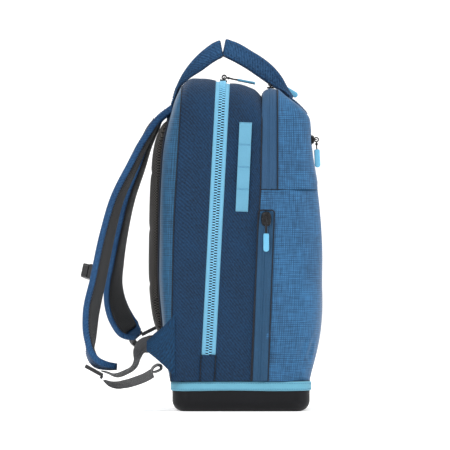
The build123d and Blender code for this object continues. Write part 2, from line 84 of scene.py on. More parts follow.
# ---------------------------------------------------------------- curves and meshes
def slopes(x, y):
    """Slope at each row of a table: the mean of the slopes on both sides, weighted by distance."""
    step = np.diff(x)
    column = (-1,) + (1,) * (y.ndim - 1)
    rate = np.diff(y, axis=0) / step.reshape(column)
    share = (step[:-1] / (step[:-1] + step[1:])).reshape(column)
    inner = rate[:-1] + (rate[1:] - rate[:-1]) * share
    return np.concatenate([rate[:1], inner, rate[-1:]])


def hermite(x, y, at):
    """Cubic through the rows of a table: each span is set by its two ends and their slopes."""
    at = np.clip(at, x[0], x[-1])
    k = np.clip(np.searchsorted(x, at) - 1, 0, len(x) - 2)
    span = x[k + 1] - x[k]
    t = (at - x[k]) / span
    shape = t.shape + (1,) * (y.ndim - 1)
    t, span, m = t.reshape(shape), span.reshape(shape), slopes(x, y)
    a, b = y[k], y[k + 1]
    return (
        a * (1 + 2 * t) * (1 - t) ** 2 + b * t**2 * (3 - 2 * t)
        + span * m[k] * t * (1 - t) ** 2 - span * m[k + 1] * t**2 * (1 - t)
    )


def curve(table, at):
    """Value of a table of millimetre pairs, at a length in metres, on a smooth cubic."""
    rows = np.array(table, float) * MM
    return hermite(rows[:, 0], rows[:, 1], np.asarray(at, float))


def path(points, count):
    """Smooth curve through points in millimetres, as evenly spaced points in metres."""
    points = np.array(points, float) * MM
    knots = np.concatenate([[0], np.cumsum(np.linalg.norm(np.diff(points[:, :3], axis=0), axis=1))])
    fine = hermite(knots, points, np.linspace(0, knots[-1], 40 * len(points)))
    walked = np.concatenate([[0], np.cumsum(np.linalg.norm(np.diff(fine[:, :3], axis=0), axis=1))])
    stops = np.linspace(0, walked[-1], count)
    return np.stack([np.interp(stops, walked, fine[:, c]) for c in range(fine.shape[1])], axis=1)


def unit(v):
    return v / np.maximum(np.linalg.norm(v, axis=-1, keepdims=True), 1e-12)


def tangents(points):
    return unit(np.gradient(points, axis=0))


def lengths(points, axis):
    """Mean distance walked along one axis of a grid of points."""
    step = np.linalg.norm(np.diff(points, axis=axis), axis=-1).mean(axis=1 - axis)
    return np.concatenate([[0], np.cumsum(step)])


def finish_mesh(name, vertices, faces, uv=None, smooth=True):
    """Object from arrays; uv has one pair for each corner of each face, in face order."""
    mesh = bpy.data.meshes.new(name)
    mesh.from_pydata(vertices.tolist(), [], [list(map(int, face)) for face in faces])
    if uv is not None:
        layer = mesh.uv_layers.new(name="cloth")
        layer.data.foreach_set("uv", np.asarray(uv, np.float32).ravel())
    mesh.polygons.foreach_set("use_smooth", [smooth] * len(mesh.polygons))
    mesh.update()
    piece = bpy.data.objects.new(name, mesh)
    bpy.context.collection.objects.link(piece)
    return piece


def grid(name, points, ring=False, caps=False, inside=None):
    """Quads over a grid of points. ring closes the columns; caps close the first and last row; inside is a
    point or an array of points that the faces look away from."""
    rows, columns = points.shape[:2]
    index = np.arange(rows * columns).reshape(rows, columns)
    walk_rows, walk_columns = lengths(points, 0), lengths(points, 1)
    if ring:
        index = np.hstack([index, index[:, :1]])
        last = np.linalg.norm(points[:, 0] - points[:, -1], axis=-1).mean()
        walk_columns = np.append(walk_columns, walk_columns[-1] + last)
    uv_grid = np.stack(np.meshgrid(walk_rows, walk_columns, indexing="ij"), axis=-1)

    def corners(table):
        return np.stack([table[:-1, :-1], table[1:, :-1], table[1:, 1:], table[:-1, 1:]], axis=2)

    quads = corners(index).reshape(-1, 4)
    uv = corners(uv_grid).reshape(-1, 4, 2)
    vertices = points.reshape(-1, 3)
    if inside is not None:
        p = vertices[quads]
        normal = np.cross(p[:, 2] - p[:, 0], p[:, 3] - p[:, 1])
        if (normal * (p.mean(axis=1) - np.asarray(inside))).sum() < 0:
            quads, uv = quads[:, ::-1], uv[:, ::-1]
    faces, uv_rows = [list(q) for q in quads], [uv.reshape(-1, 2)]
    if caps:
        flipped = inside is not None and quads[0][0] != index[0, 0]
        ends = [list(index[0, :columns]), list(index[-1, :columns][::-1])]
        for end in ends:
            faces.append(end[::-1] if flipped else end)
            uv_rows.append(np.zeros((columns, 2)) + 0.001)
    return finish_mesh(name, vertices, faces, np.concatenate(uv_rows))


def close(piece, merge=0.00001):
    """Merges doubles and turns every face outwards."""
    mesh = bmesh.new()
    mesh.from_mesh(piece.data)
    bmesh.ops.remove_doubles(mesh, verts=mesh.verts, dist=merge)
    bmesh.ops.recalc_face_normals(mesh, faces=mesh.faces)
    mesh.to_mesh(piece.data)
    mesh.free()
    return piece


def thicken(piece, thickness, offset=-1):
    wall = piece.modifiers.new("wall", "SOLIDIFY")
    wall.thickness, wall.offset, wall.use_even_offset = thickness, offset, False
    return piece


def apply_modifiers(piece):
    """Bakes the modifiers into the mesh."""
    evaluated = piece.evaluated_get(bpy.context.evaluated_depsgraph_get())
    mesh = bpy.data.meshes.new_from_object(evaluated)
    piece.modifiers.clear()
    piece.data = mesh
    return piece


def superellipse(count, width, height, power):
    """Closed outline: a rounded rectangle when power is high."""
    turn = np.arange(count) * 2 * math.pi / count
    c, s = np.cos(turn), np.sin(turn)
    return np.stack([
        width / 2 * np.sign(c) * np.abs(c) ** (2 / power), height / 2 * np.sign(s) * np.abs(s) ** (2 / power)
    ], axis=1)


def frames(points, across):
    """Direction along a path, and the across and outward directions square to it."""
    along = tangents(points)
    across = unit(across - along * (across * along).sum(axis=1, keepdims=True))
    return along, across, np.cross(across, along)


def laid(centres, degrees):
    """Across and outward directions of a strap that starts level sideways and is turned about its path."""
    along, across, _ = frames(centres, np.tile([0.0, 1.0, 0.0], (len(centres), 1)))
    angle = np.radians(degrees)[:, None]
    across = unit(across * np.cos(angle) + np.cross(along, across) * np.sin(angle))
    return across, np.cross(across, along)


def band(name, centres, across, outward, width, thick, power=8, count=28, cap=True):
    """Flat strip with rounded edges: an outline carried along a path. width and thick may vary along it."""
    outline = superellipse(count, 1, 1, power)
    width = np.broadcast_to(width, len(centres))[:, None, None]
    thick = np.broadcast_to(thick, len(centres))[:, None, None]
    points = (
        centres[:, None] + across[:, None] * outline[None, :, :1] * width
        + outward[:, None] * outline[None, :, 1:] * thick
    )
    inside = np.repeat(centres[:-1], count, axis=0)
    return grid(name, points, ring=True, caps=cap, inside=inside)


def tube(name, centres, radius, count=10):
    """Round cord along a path. Its sections are turned by the axis that the path runs along least."""
    side = np.eye(3)[np.argmin(np.abs(tangents(centres)).max(axis=0))]
    _, across, outward = frames(centres, np.tile(side, (len(centres), 1)))
    return band(name, centres, across, outward, 2 * radius, 2 * radius, power=2, count=count)


def pebble(size, power=4, rings=4, segments=8):
    """Small rounded block: a ball whose latitude and longitude are squared off."""
    latitude = np.linspace(-QUARTER, QUARTER, rings + 1)[1:-1]
    longitude = np.arange(segments) * 2 * math.pi / segments + math.pi / segments

    def soften(value):
        return np.sign(value) * np.abs(value) ** (2 / power)

    wide, high = soften(np.cos(latitude)), soften(np.sin(latitude))
    x = wide[:, None] * soften(np.cos(longitude))
    y = wide[:, None] * soften(np.sin(longitude))
    z = np.repeat(high[:, None], segments, axis=1)
    body = np.stack([x, y, z], axis=-1).reshape(-1, 3)
    vertices = np.concatenate([body, [[0, 0, -1], [0, 0, 1]]]) * np.array(size) / 2
    faces = []
    for r in range(rings - 2):
        for s in range(segments):
            a, b = r * segments + s, r * segments + (s + 1) % segments
            faces.append([a, b, b + segments, a + segments])
    south, north = len(body), len(body) + 1
    top = (rings - 2) * segments
    for s in range(segments):
        faces.append([(s + 1) % segments, s, south])
        faces.append([top + s, top + (s + 1) % segments, north])
    return vertices, faces


def copies(name, shape, origins, along, across, outward):
    """One object of many copies of a small shape, each in its own frame."""
    vertices, faces = shape
    placed = (
        origins[:, None] + vertices[None, :, :1] * along[:, None] + vertices[None, :, 1:2] * across[:, None]
        + vertices[None, :, 2:] * outward[:, None]
    )
    every = [[v + k * len(vertices) for v in face] for k in range(len(origins)) for face in faces]
    return finish_mesh(name, placed.reshape(-1, 3), every)


def resample(points, pitch):
    """Evenly spaced stops along a line of points, with the index at which each falls."""
    walked = np.concatenate([[0], np.cumsum(np.linalg.norm(np.diff(points, axis=0), axis=1))])
    count = max(2, int(walked[-1] / pitch))
    stops = (np.arange(count) + 0.5) * walked[-1] / count
    return np.stack([np.interp(stops, walked, points[:, c]) for c in range(3)], axis=1), stops, walked


STITCH = (2.9 * MM, 0.8 * MM, 0.7 * MM)


def stitches(name, points, outward, pitch, size):
    """A row of sewn stitches along a line that lies on a surface."""
    centres, stops, walked = resample(points, pitch)
    normal = unit(np.stack([np.interp(stops, walked, outward[:, c]) for c in range(3)], axis=1))
    along = tangents(centres)
    across = unit(np.cross(normal, along))
    return copies(name, pebble(size, power=3, rings=3, segments=6), centres, along, across, normal)


def sew(name, points, outward, body_name, pitch=4.0 * MM, size=STITCH, thread=None):
    """A row of stitches in dark thread, or in another one, that rides on a body."""
    return dress(stitches(name, points, outward, pitch, size), thread or DARK_THREAD, body_name)


def waves(a, b, seed, size, height):
    """Gentle uneven swell: a sum of sine waves in random directions with random phases."""
    random = np.random.default_rng(seed)
    total = np.zeros(np.broadcast(a, b).shape)
    for _ in range(7):
        heading, stretch = random.uniform(0, math.pi), random.uniform(0.7, 1.8)
        phase = random.uniform(0, 2 * math.pi)
        walked = a * math.cos(heading) + b * math.sin(heading)
        total += np.sin(walked * 2 * math.pi * stretch / size + phase)
    return total * height / 3


# ---------------------------------------------------------------- shader building
class Value:
    """A node socket that adds Math nodes when it is used in an expression."""

    def __init__(self, shader, socket):
        self.shader, self.socket = shader, socket

    def math(self, operation, *values):
        return self.shader.node("ShaderNodeMath", {"operation": operation}, *values)

    def __add__(self, other):
        return self.math("ADD", self, other)

    def __sub__(self, other):
        return self.math("SUBTRACT", self, other)

    def __rsub__(self, other):
        return self.math("SUBTRACT", other, self)

    def __mul__(self, other):
        return self.math("MULTIPLY", self, other)

    def __truediv__(self, other):
        return self.math("DIVIDE", self, other)

    def __pow__(self, other):
        return self.math("POWER", self, other)

    __radd__, __rmul__ = __add__, __mul__

    def ridge(self):
        """Triangle wave from 0 to 1 with a period of 1."""
        return self.math("PINGPONG", self, 0.5) * 2

    def fraction(self):
        return self.math("FRACT", self)

    def above(self, edge, soft):
        """0 below edge and 1 above it, with a soft step."""
        node = self.shader.node("ShaderNodeMapRange", {"interpolation_type": "SMOOTHSTEP"}, self, edge - soft,
                                edge + soft, 0.0, 1.0)
        return node


class Shader:
    """One material with a Principled BSDF: constants on its sockets, patterns linked by paint and bump."""

    def __init__(self, name, rough=0.7, **settings):
        self.material = bpy.data.materials.new(name)
        self.material.use_nodes = True
        self.tree = self.material.node_tree
        self.tree.nodes.clear()
        self.surface = self.tree.nodes.new("ShaderNodeBsdfPrincipled")
        output = self.tree.nodes.new("ShaderNodeOutputMaterial")
        self.tree.links.new(self.surface.outputs[0], output.inputs["Surface"])
        self.surface.inputs["Roughness"].default_value = rough
        for key, value in settings.items():
            self.surface.inputs[key.replace("_", " ").title().replace("Ior", "IOR")].default_value = value

    def node(self, kind, settings, *values, output=0, **named):
        """Adds a node: settings first, then its sockets by order or by name."""
        node = self.tree.nodes.new(kind)
        for key, value in settings.items():
            setattr(node, key, value)
        sockets = list(zip([s for s in node.inputs if s.enabled], values))
        sockets += [(node.inputs[key], value) for key, value in named.items()]
        for socket, value in sockets:
            if isinstance(value, Value):
                self.tree.links.new(value.socket, socket)
            elif value is not None:
                socket.default_value = value
        return Value(self, [s for s in node.outputs if s.enabled][output])

    def coordinates(self, cloth=True):
        """Cloth coordinates are metres along and across a piece; object coordinates are its place."""
        if cloth:
            return self.node("ShaderNodeUVMap", {"uv_map": "cloth"})
        node = self.tree.nodes.new("ShaderNodeTexCoord")
        return Value(self, node.outputs["Object"])

    def split(self, vector):
        return [self.node("ShaderNodeSeparateXYZ", {}, vector, output=k) for k in range(3)]

    def noise(self, vector, scale, detail=3.0, rough=0.6):
        return self.node("ShaderNodeTexNoise", {}, Vector=vector, Scale=scale, Detail=detail, Roughness=rough)

    def stretched(self, vector, x, y, z=1.0):
        return self.node("ShaderNodeMapping", {}, Vector=vector, Scale=(x, y, z))

    def mix(self, share, first, second):
        """Colour between two colours."""
        node = self.tree.nodes.new("ShaderNodeMix")
        node.data_type = "RGBA"
        for key, value in ((0, share), (6, first), (7, second)):
            if isinstance(value, Value):
                self.tree.links.new(value.socket, node.inputs[key])
            else:
                node.inputs[key].default_value = value
        return Value(self, node.outputs[2])

    def paint(self, colour):
        self.tree.links.new(colour.socket, self.surface.inputs["Base Color"])

    def rough(self, value):
        self.tree.links.new(value.socket, self.surface.inputs["Roughness"])

    def bump(self, height, distance, strength=1.0):
        bumped = self.node("ShaderNodeBump", {}, Height=height, Distance=distance, Strength=strength)
        self.tree.links.new(bumped.socket, self.surface.inputs["Normal"])


def colour(red, green, blue):
    """Linear colour from the usual 0 to 255 values."""
    channels = []
    for value in (red, green, blue):
        share = value / 255
        channels.append(share / 12.92 if share <= 0.04045 else ((share + 0.055) / 1.055) ** 2.4)
    return (*channels, 1.0)


# ---------------------------------------------------------------- materials
def fibre(name, rough, sheen, gleam, specular):
    """Shader for a cloth, with its coordinates: metres along and across the piece."""
    s = Shader(name, rough, sheen_weight=sheen, sheen_roughness=gleam, specular_ior_level=specular)
    cloth = s.coordinates()
    x, y, _ = s.split(cloth)
    return s, cloth, x, y


def twill(name, dark, light, pitch=1.2 * MM, rough=0.75, sheen=0.05, hatch=0.6):
    """Diagonal weave with a hatch of raised slanting ribs, and yarns that change a little in shade."""
    s, cloth, x, y = fibre(name, rough, sheen, 0.45, 0.22)
    rib = ((x + y * 1.35) / pitch).ridge()
    thread = ((x - y * 1.1) / (pitch * 0.62)).ridge()
    slant = ((x * 0.77 + y * 0.64) / (3.7 * MM) + s.noise(cloth, 60) * 0.9).ridge()
    speck = s.noise(cloth, 300, 2)
    mottle = s.noise(cloth, 900, 2)
    drift = s.noise(cloth, 14, 4)
    share = slant * hatch + rib * 0.14 + thread * 0.08 + speck * 1.5 + mottle * 0.2 + drift * 0.9 - 1.18
    s.paint(s.mix(share, dark, light))
    s.rough(drift * 0.14 + (rough - 0.07))
    s.bump(slant * 0.8 + rib * 0.5 + thread * 0.25 + mottle * 0.3, 0.34 * MM)
    return s.material


def slub_weave(name, dark, light, rough=0.62, sheen=0.1):
    """Fine plain weave whose yarns thicken here and there in both directions, with a faint grid."""
    s, cloth, x, y = fibre(name, rough, sheen, 0.35, 0.28)
    weft = s.noise(s.stretched(cloth, 45, 520), 1.0, 2)
    warp = s.noise(s.stretched(cloth, 520, 45), 1.0, 2)
    checks = (x / (3.2 * MM)).ridge() * (y / (3.2 * MM)).ridge()
    drift = s.noise(cloth, 9, 4)
    share = weft * 1.5 + warp * 1.5 + checks * 0.9 + drift * 1.2 - 1.85
    s.paint(s.mix(share, dark, light))
    s.rough(drift * 0.2 + (rough - 0.1))
    s.bump(weft * 0.5 + warp * 0.5 + checks * 0.6, 0.26 * MM)
    return s.material


def ribbed_tape(name, dark, light, pitch=1.3 * MM, rough=0.62, across=True):
    """Woven tape: ribs along its length, crossed by fine threads."""
    s, cloth, x, y = fibre(name, rough, 0.08, 0.4, 0.28)
    rib = ((y if across else x) / pitch).ridge()
    thread = ((x if across else y) / (0.8 * MM) + rib * 0.3).ridge()
    mottle = s.noise(cloth, 420, 3)
    drift = s.noise(cloth, 30, 3)
    s.paint(s.mix(rib * 0.34 + thread * 0.2 + mottle * 0.3 + drift * 0.3 - 0.1, dark, light))
    s.rough(mottle * 0.12 + (rough - 0.06))
    s.bump(rib + thread * 0.6, 0.28 * MM)
    return s.material


def zip_tape(name, dark, light, painted_shade_colour):
    """Ribbed tape with painted shade on its inner edge, under the teeth: that strip is painted dark for the
    shadow that the teeth cast.
    """
    s, cloth, x, y = fibre(name, 0.62, 0.08, 0.4, 0.28)
    rib = (x / (1.3 * MM)).ridge()
    thread = (y / (0.8 * MM) + rib * 0.3).ridge()
    mottle = s.noise(cloth, 420, 3)
    woven = s.mix(rib * 0.34 + thread * 0.2 + mottle * 0.4 + s.noise(cloth, 30, 3) * 0.3 - 0.15, dark, light)
    # painted shade: the inner edge under the teeth is painted dark, in place of the teeth's shadow on the
    # tape
    s.paint(s.mix(x.above(4.3 * MM, 0.3 * MM), painted_shade_colour, woven))
    s.bump(rib + thread * 0.6, 0.28 * MM)
    return s.material


def lined_tape(name, dark, light, line_colour, lines):
    """Ribbed tape with thin dark lines sewn along it, at distances from its first edge."""
    s, cloth, x, y = fibre(name, 0.62, 0.08, 0.4, 0.28)
    rib = (x / (2.1 * MM)).ridge()
    thread = (y / (1.7 * MM)).ridge()
    mottle = s.noise(cloth, 420, 3)
    woven = s.mix(rib * 0.3 + thread * 0.15 + mottle * 0.5 + s.noise(cloth, 30, 3) * 0.4 - 0.2, dark, light)
    sewn = thread.above(0.35, 0.25)
    nearest = (x - lines[0]).math("ABSOLUTE")
    for place in lines[1:]:
        nearest = nearest.math("MINIMUM", nearest, (x - place).math("ABSOLUTE"))
    away = nearest.above(0.55 * MM, 0.2 * MM).math("MAXIMUM", nearest.above(0.55 * MM, 0.2 * MM), sewn * 0.35)
    s.paint(s.mix(away, line_colour, woven))
    s.bump(rib + thread * 0.5 + away, 0.3 * MM)
    return s.material


def spacer_mesh(name, thread_colour, hole_colour, pitch=(2.7 * MM, 4.0 * MM)):
    """Knitted mesh: two sets of oval holes, the second half a step on, that leave a lattice between them."""
    s = Shader(name, 0.85, sheen_weight=0.15, specular_ior_level=0.25)
    cloth = s.coordinates()
    x, y, _ = s.split(cloth)
    a, b = x / pitch[1], y / pitch[0]

    def oval(shift):
        across = (a + shift).fraction() - 0.5
        along = (b + shift).fraction() - 0.5
        return (across * across * 0.8 + along * along) ** 0.5

    nearest = oval(0.0).math("MINIMUM", oval(0.0), oval(0.5))
    solid = nearest.above(0.30, 0.06)
    fibre = s.noise(cloth, 1500, 2)
    drift = s.noise(cloth, 25, 3)
    lattice = s.mix(fibre * 0.6 + drift * 0.4, colour(38, 37, 36), thread_colour)
    s.paint(s.mix(solid, hole_colour, lattice))
    s.rough(solid * -0.1 + 0.92)
    s.bump(solid + fibre * 0.2, 0.9 * MM)
    return s.material


def webbing_weave(name, dark, light):
    """Heavy webbing: slanted yarns that meet in a chevron along four lanes."""
    s, cloth, x, y = fibre(name, 0.6, 0.25, 0.4, 0.4)
    lane = (y / (6.0 * MM)).ridge()
    yarn = (x / (2.0 * MM) + lane * 1.2).ridge()
    cord = (y / (1.5 * MM)).ridge()
    mottle = s.noise(cloth, 500, 3)
    s.paint(s.mix(yarn * 0.35 + cord * 0.2 + mottle * 0.45, dark, light))
    s.rough(mottle * 0.15 + 0.52)
    s.bump(yarn + cord * 0.5, 0.35 * MM)
    return s.material


def moulded(name, dark, light, rough=0.5, grain=900.0, grain_depth=0.05 * MM, coat=0.0, gloss=0.4):
    """Moulded plastic or rubber: fine grain, a slight drift of gloss and paler rubbed spots."""
    s = Shader(name, rough, coat_weight=coat, specular_ior_level=gloss)
    place = s.coordinates(cloth=False)
    fine = s.noise(place, grain, 2)
    drift = s.noise(place, 22, 5)
    rub = s.noise(s.stretched(place, 1.0, 1.0, 5.0), 90, 4).above(0.68, 0.08)
    s.paint(s.mix(drift * 0.55 + rub * 0.3, dark, light))
    s.rough(drift * 0.2 + rub * 0.12 + (rough - 0.12))
    s.bump(fine, grain_depth)
    return s.material


def coated_metal(name):
    """Black coating on die-cast metal, rubbed to a paler grey on high spots."""
    s = Shader(name, 0.38, specular_ior_level=0.5)
    place = s.coordinates(cloth=False)
    rub = s.noise(place, 420, 4).above(0.66, 0.06)
    s.surface.inputs["Metallic"].default_value = 0.55
    s.paint(s.mix(rub, colour(16, 16, 18), colour(74, 76, 80)))
    s.rough(s.noise(place, 160, 3) * 0.25 + 0.26)
    s.bump(s.noise(place, 900, 2), 0.04 * MM)
    return s.material


def plain_stage():
    s = Shader("stage_paint", 0.95, specular_ior_level=0.1)
    s.surface.inputs["Base Color"].default_value = (0.9, 0.9, 0.9, 1)
    s.surface.inputs["Emission Color"].default_value = (1, 1, 1, 1)
    s.surface.inputs["Emission Strength"].default_value = 0.34
    return s.material


NAVY = twill("navy_twill", colour(4, 23, 41), colour(16, 54, 88))
# dark seam cloth for piping and edges; its darkness also paints the shadow lines along the seams
NAVY_SEAM_AND_SHADE = ribbed_tape("navy_seam_and_shade", colour(6, 12, 22), colour(16, 28, 46))
BLUE = slub_weave("blue_weave", colour(21, 57, 88), colour(45, 100, 144))
BORDER_BLUE = slub_weave("border_weave", colour(11, 45, 69), colour(31, 83, 118))
COIL_TAPE = ribbed_tape("blue_zip_tape", colour(18, 48, 75), colour(36, 82, 120), pitch=2.2 * MM)
BAND_TAPE = lined_tape("compartment_tape", colour(18, 48, 74), colour(44, 86, 124), colour(6, 12, 22),
                       [7.4 * MM, 9.5 * MM, 11.6 * MM, 13.7 * MM, 15.8 * MM])
TRACK_TAPE = lined_tape("pocket_zip_tape", colour(14, 43, 68), colour(33, 80, 115), colour(10, 20, 34),
                        [10.8 * MM, 12.4 * MM])
TRIM = ribbed_tape("binding_tape", colour(78, 135, 157), colour(113, 180, 203))
LOOP_TAPE = ribbed_tape("loop_tape", colour(79, 133, 157), colour(105, 166, 196))
# the last colour is the painted shade under the teeth
ZIP_TAPE = zip_tape("main_zip_tape", colour(92, 152, 184), colour(124, 190, 220), colour(14, 24, 38))
TEETH = moulded("zip_teeth_plastic", colour(96, 164, 198), colour(140, 204, 230), rough=0.42,
                grain_depth=0.02 * MM)
THREAD = ribbed_tape("trim_thread", colour(44, 92, 128), colour(84, 142, 178))
DARK_THREAD = ribbed_tape("navy_thread", colour(12, 24, 42), colour(34, 56, 88))
BASE = moulded("base_plastic", colour(7, 7, 9), colour(18, 19, 24), rough=0.5, grain=1400.0, gloss=0.16)
MESH = spacer_mesh("spacer_mesh", colour(92, 86, 80), colour(6, 6, 7))
STRAP_MESH = spacer_mesh("strap_mesh", colour(92, 92, 96), colour(4, 4, 5), pitch=(2.9 * MM, 4.2 * MM))
HANDLE_CLOTH = twill("handle_cloth", colour(13, 42, 72), colour(44, 87, 128), hatch=0.4)
STRAP_CLOTH = twill("strap_cloth", colour(12, 43, 77), colour(43, 88, 132), hatch=0.35)
WING_CLOTH = twill("wing_cloth", colour(2, 31, 55), colour(13, 64, 102), hatch=0.4)
EDGE_BINDING = ribbed_tape("edge_binding", colour(10, 16, 28), colour(26, 36, 54), pitch=0.9 * MM)
WEBBING = webbing_weave("dark_webbing", colour(20, 21, 24), colour(56, 57, 61))
BUCKLE = moulded("buckle_plastic", colour(10, 10, 12), colour(30, 30, 34), rough=0.42)
METAL = coated_metal("black_coated_metal")
CORD = ribbed_tape("pull_cord", colour(10, 10, 12), colour(34, 34, 38), pitch=0.7 * MM)
RUBBER = moulded("pull_rubber", colour(78, 151, 187), colour(122, 191, 218), rough=0.45, grain=1200.0,
                 coat=0.1)
BOARD = moulded("stiff_board", colour(50, 52, 56), colour(84, 86, 90), rough=0.6)


def dress(piece, material, body=None, nodes=()):
    """Gives a new piece its finish and its body, and hides the CAD nodes that it stands for."""
    piece.data.materials.clear()
    piece.data.materials.append(material)
    if body:
        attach(piece, body)
    if nodes:
        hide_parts(*nodes)
    return piece


# ---------------------------------------------------------------- body surfaces
def fold(distance, flat, radius):
    """Walk a distance along a flat stretch, round a quarter circle and down: how far across, how far down,
    and the angle of the surface there."""
    bend = np.clip(distance - flat, 0, QUARTER * radius)
    angle = bend / radius
    down = np.maximum(distance - flat - QUARTER * radius, 0)
    return np.minimum(distance, flat) + radius * np.sin(angle), radius * (1 - np.cos(angle)) + down, angle


def arch(x, p, top, lift=0.0, foot=None):
    """Section across the bag at x: p runs from -1 at the near foot over the top to 1 at the far foot."""
    foot = RIM if foot is None else foot
    flat = HALF_WIDTH - CORNER
    reach = flat + QUARTER * CORNER + top - CORNER - foot
    across, drop, angle = fold(np.abs(p) * reach, flat, CORNER)
    y = np.sign(p) * (across + lift * np.sin(angle))
    return np.stack(np.broadcast_arrays(x, y, top - drop + lift * np.cos(angle)), axis=-1)


def body(x, p, lift=0.0):
    """Point on the navy body."""
    return arch(x, p, curve(TOP_LINE, x), lift)


def zip_x(z):
    return ZIP_FOOT[0] + (ZIP_HEAD[0] - ZIP_FOOT[0]) * (z - ZIP_FOOT[1]) / (ZIP_HEAD[1] - ZIP_FOOT[1])


def body_between(left, right, u, p, lift=0.0):
    """Point a share u of the way between two seams that depend on height."""
    x = np.broadcast_to(zip_x(0.3), np.broadcast(u, p).shape)
    for _ in range(4):
        z = body(x, p)[..., 2]
        x = left(z) + u * (right(z) - left(z))
    return body(x, p, lift)


def back_seam(z):
    return curve(BACK_SEAM, z)


def front_seam(z):
    return curve(FRONT_SEAM, z)


def crown(u, power=2.5):
    """Puff across a panel: 0 at both edges, 1 in the middle."""
    return 1 - np.abs(2 * u - 1) ** power


def front(q, z, rear, lift=0.0):
    """Point on the front shell: q runs from -1 round the front to 1, at one height."""
    forward = curve(FRONT_LINE, z)
    rise = np.clip(z - SHOULDER, 0, CORNER)
    half = HALF_WIDTH - CORNER + np.sqrt(CORNER**2 - rise**2)
    radius = np.minimum(CORNER, 0.55 * np.maximum(forward - rear, 0.2 * MM))
    flat = half - radius
    reach = flat + QUARTER * radius + np.maximum(forward - radius - rear, 0)
    across, depth, angle = fold(np.abs(q) * reach, flat, radius)
    y = np.sign(q) * (across + lift * np.sin(angle))
    return np.stack(np.broadcast_arrays(forward - depth + lift * np.cos(angle), y, z), axis=-1)


def spread(count, low=0.0, high=1.0):
    return np.linspace(low, high, count)


# ---------------------------------------------------------------- navy body
def navy_rear():
    u, p = np.meshgrid(spread(26), spread(330, -1, 1), indexing="ij")
    z = body_between(back_seam, lambda h: zip_x(h) - 10.6 * MM, u, p)[..., 2]
    lift = crown(u) * (1.6 * MM + waves(u * 0.05, z + p * 0.02, 3, 0.09, 0.8 * MM))
    points = body_between(back_seam, lambda h: zip_x(h) - 10.6 * MM, u, p, lift)
    piece = thicken(grid("rear_gusset_cloth", points, inside=(-0.04, 0, 0.25)), 2.4 * MM)
    return dress(piece, NAVY, "bag", ("rear_gusset",))


def navy_front():
    """Navy panel in front of the zip. Below the fold it creases."""
    u, p = np.meshgrid(spread(34), spread(330, -1, 1), indexing="ij")

    def left(h):
        return zip_x(h) + 10.6 * MM

    z = body_between(left, front_seam, u, p)[..., 2]
    lift = crown(u) * (1.6 * MM + waves(u * 0.06, z, 9, 0.11, 0.8 * MM))
    points = body_between(left, front_seam, u, p, lift)
    piece = apply_modifiers(thicken(grid("front_gusset_cloth", points, inside=(-0.01, 0, 0.25)), 2.4 * MM))
    dress(piece, NAVY, None, ("front_gusset", "lower_gusset"))
    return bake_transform(piece)


def zip_ends():
    """Navy patch under each end of the main zip, with an upright seam along both of its edges."""
    for name, side in SIDES:
        u, v = np.meshgrid(spread(9), spread(26), indexing="ij")
        z = RIM + v * (ZIP_START - RIM + 2 * MM)
        x = zip_x(z) + (2 * u - 1) * 10.9 * MM
        points = np.stack([x, side * (HALF_WIDTH + 0.9 * MM + 0.5 * MM * crown(u)), z], axis=-1)
        piece = thicken(grid(f"zip_end_cloth_{name}", points, inside=(-0.04, 0, 0.06)), 1.5 * MM)
        dress(piece, NAVY, "bag", ("zip_end_patches",))
        for k, edge in enumerate((0, -1)):
            line = points[edge] + [0, side * 0.3 * MM, 0]
            dress(tube(f"zip_end_seam_{name}_{k}", line, 0.7 * MM, 8), NAVY_SEAM_AND_SHADE, "bag")


def seam_cord(name, seam, material, shift, body_name, blended=False, radius=0.7 * MM, low=-1.0, high=1.0):
    """Thin sewn-in piping along a seam of the body; its dark colour also paints the seam's shadow line."""
    p = spread(340, low, high)
    points = body_between(seam, seam, np.zeros_like(p), p, shift)
    piece = tube(name, points, radius, 8)
    dress(piece, material, None if blended else body_name)
    if blended:
        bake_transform(piece)
    return piece


def main_zip(name, side, body_name):
    """One half of the main zip: a woven tape with a thick edge, and its row of moulded teeth."""
    u, p = np.meshgrid(spread(12), spread(330, -ZIP_REACH, ZIP_REACH), indexing="ij")
    gap, outer = 0.25 * MM, 11.4 * MM

    def middle(h):
        return zip_x(h) + side * gap

    def edge(h):
        return zip_x(h) + side * outer

    distance = gap + u * (outer - gap)
    ribs = 0.22 * MM * np.cos(distance / (1.9 * MM) * 2 * math.pi) * (distance > 4.8 * MM)
    lift = -1.3 * MM + ribs + 0.5 * MM * np.exp(-(((distance - 5.2 * MM) / (0.8 * MM)) ** 2))
    points = body_between(middle, edge, u, p, lift)
    tape = thicken(grid(f"main_zip_tape_{name}_cloth", points, inside=(-0.03, 0, 0.25)), 0.9 * MM)
    dress(tape, ZIP_TAPE, body_name, (f"main_zip_tape_{name}",))

    line_p = spread(900, -ZIP_REACH, ZIP_REACH)
    line = body_between(zip_x, zip_x, np.zeros_like(line_p), line_p, 0.1 * MM)
    outward = unit(body_between(zip_x, zip_x, np.zeros_like(line_p), line_p, 1.1 * MM) - line)
    centres, stops, walked = resample(line, 4.0 * MM)
    normal = unit(np.stack([np.interp(stops, walked, outward[:, c]) for c in range(3)], axis=1))
    along = tangents(centres)
    across = unit(np.cross(along, normal))
    across *= np.sign(across[:, :1]) * side
    shift = 0.0 if side < 0 else 2.0 * MM
    origins = centres + along * shift + across * 2.1 * MM
    teeth = copies(f"main_zip_teeth_{name}_row", pebble((2.2 * MM, 5.2 * MM, 2.6 * MM), 5), origins, along,
                   across, normal)
    return dress(close(teeth, 1e-7), TEETH, body_name, (f"main_zip_teeth_{name}",))


def reach_at(height):
    """Share p at which the main zip's line is at a height on the side."""
    p = spread(4000, 0.5, 1.0)
    z = body_between(zip_x, zip_x, np.zeros_like(p), p)[:, 2]
    return float(p[np.argmin(np.abs(z - height))])


ZIP_REACH = reach_at(ZIP_START)


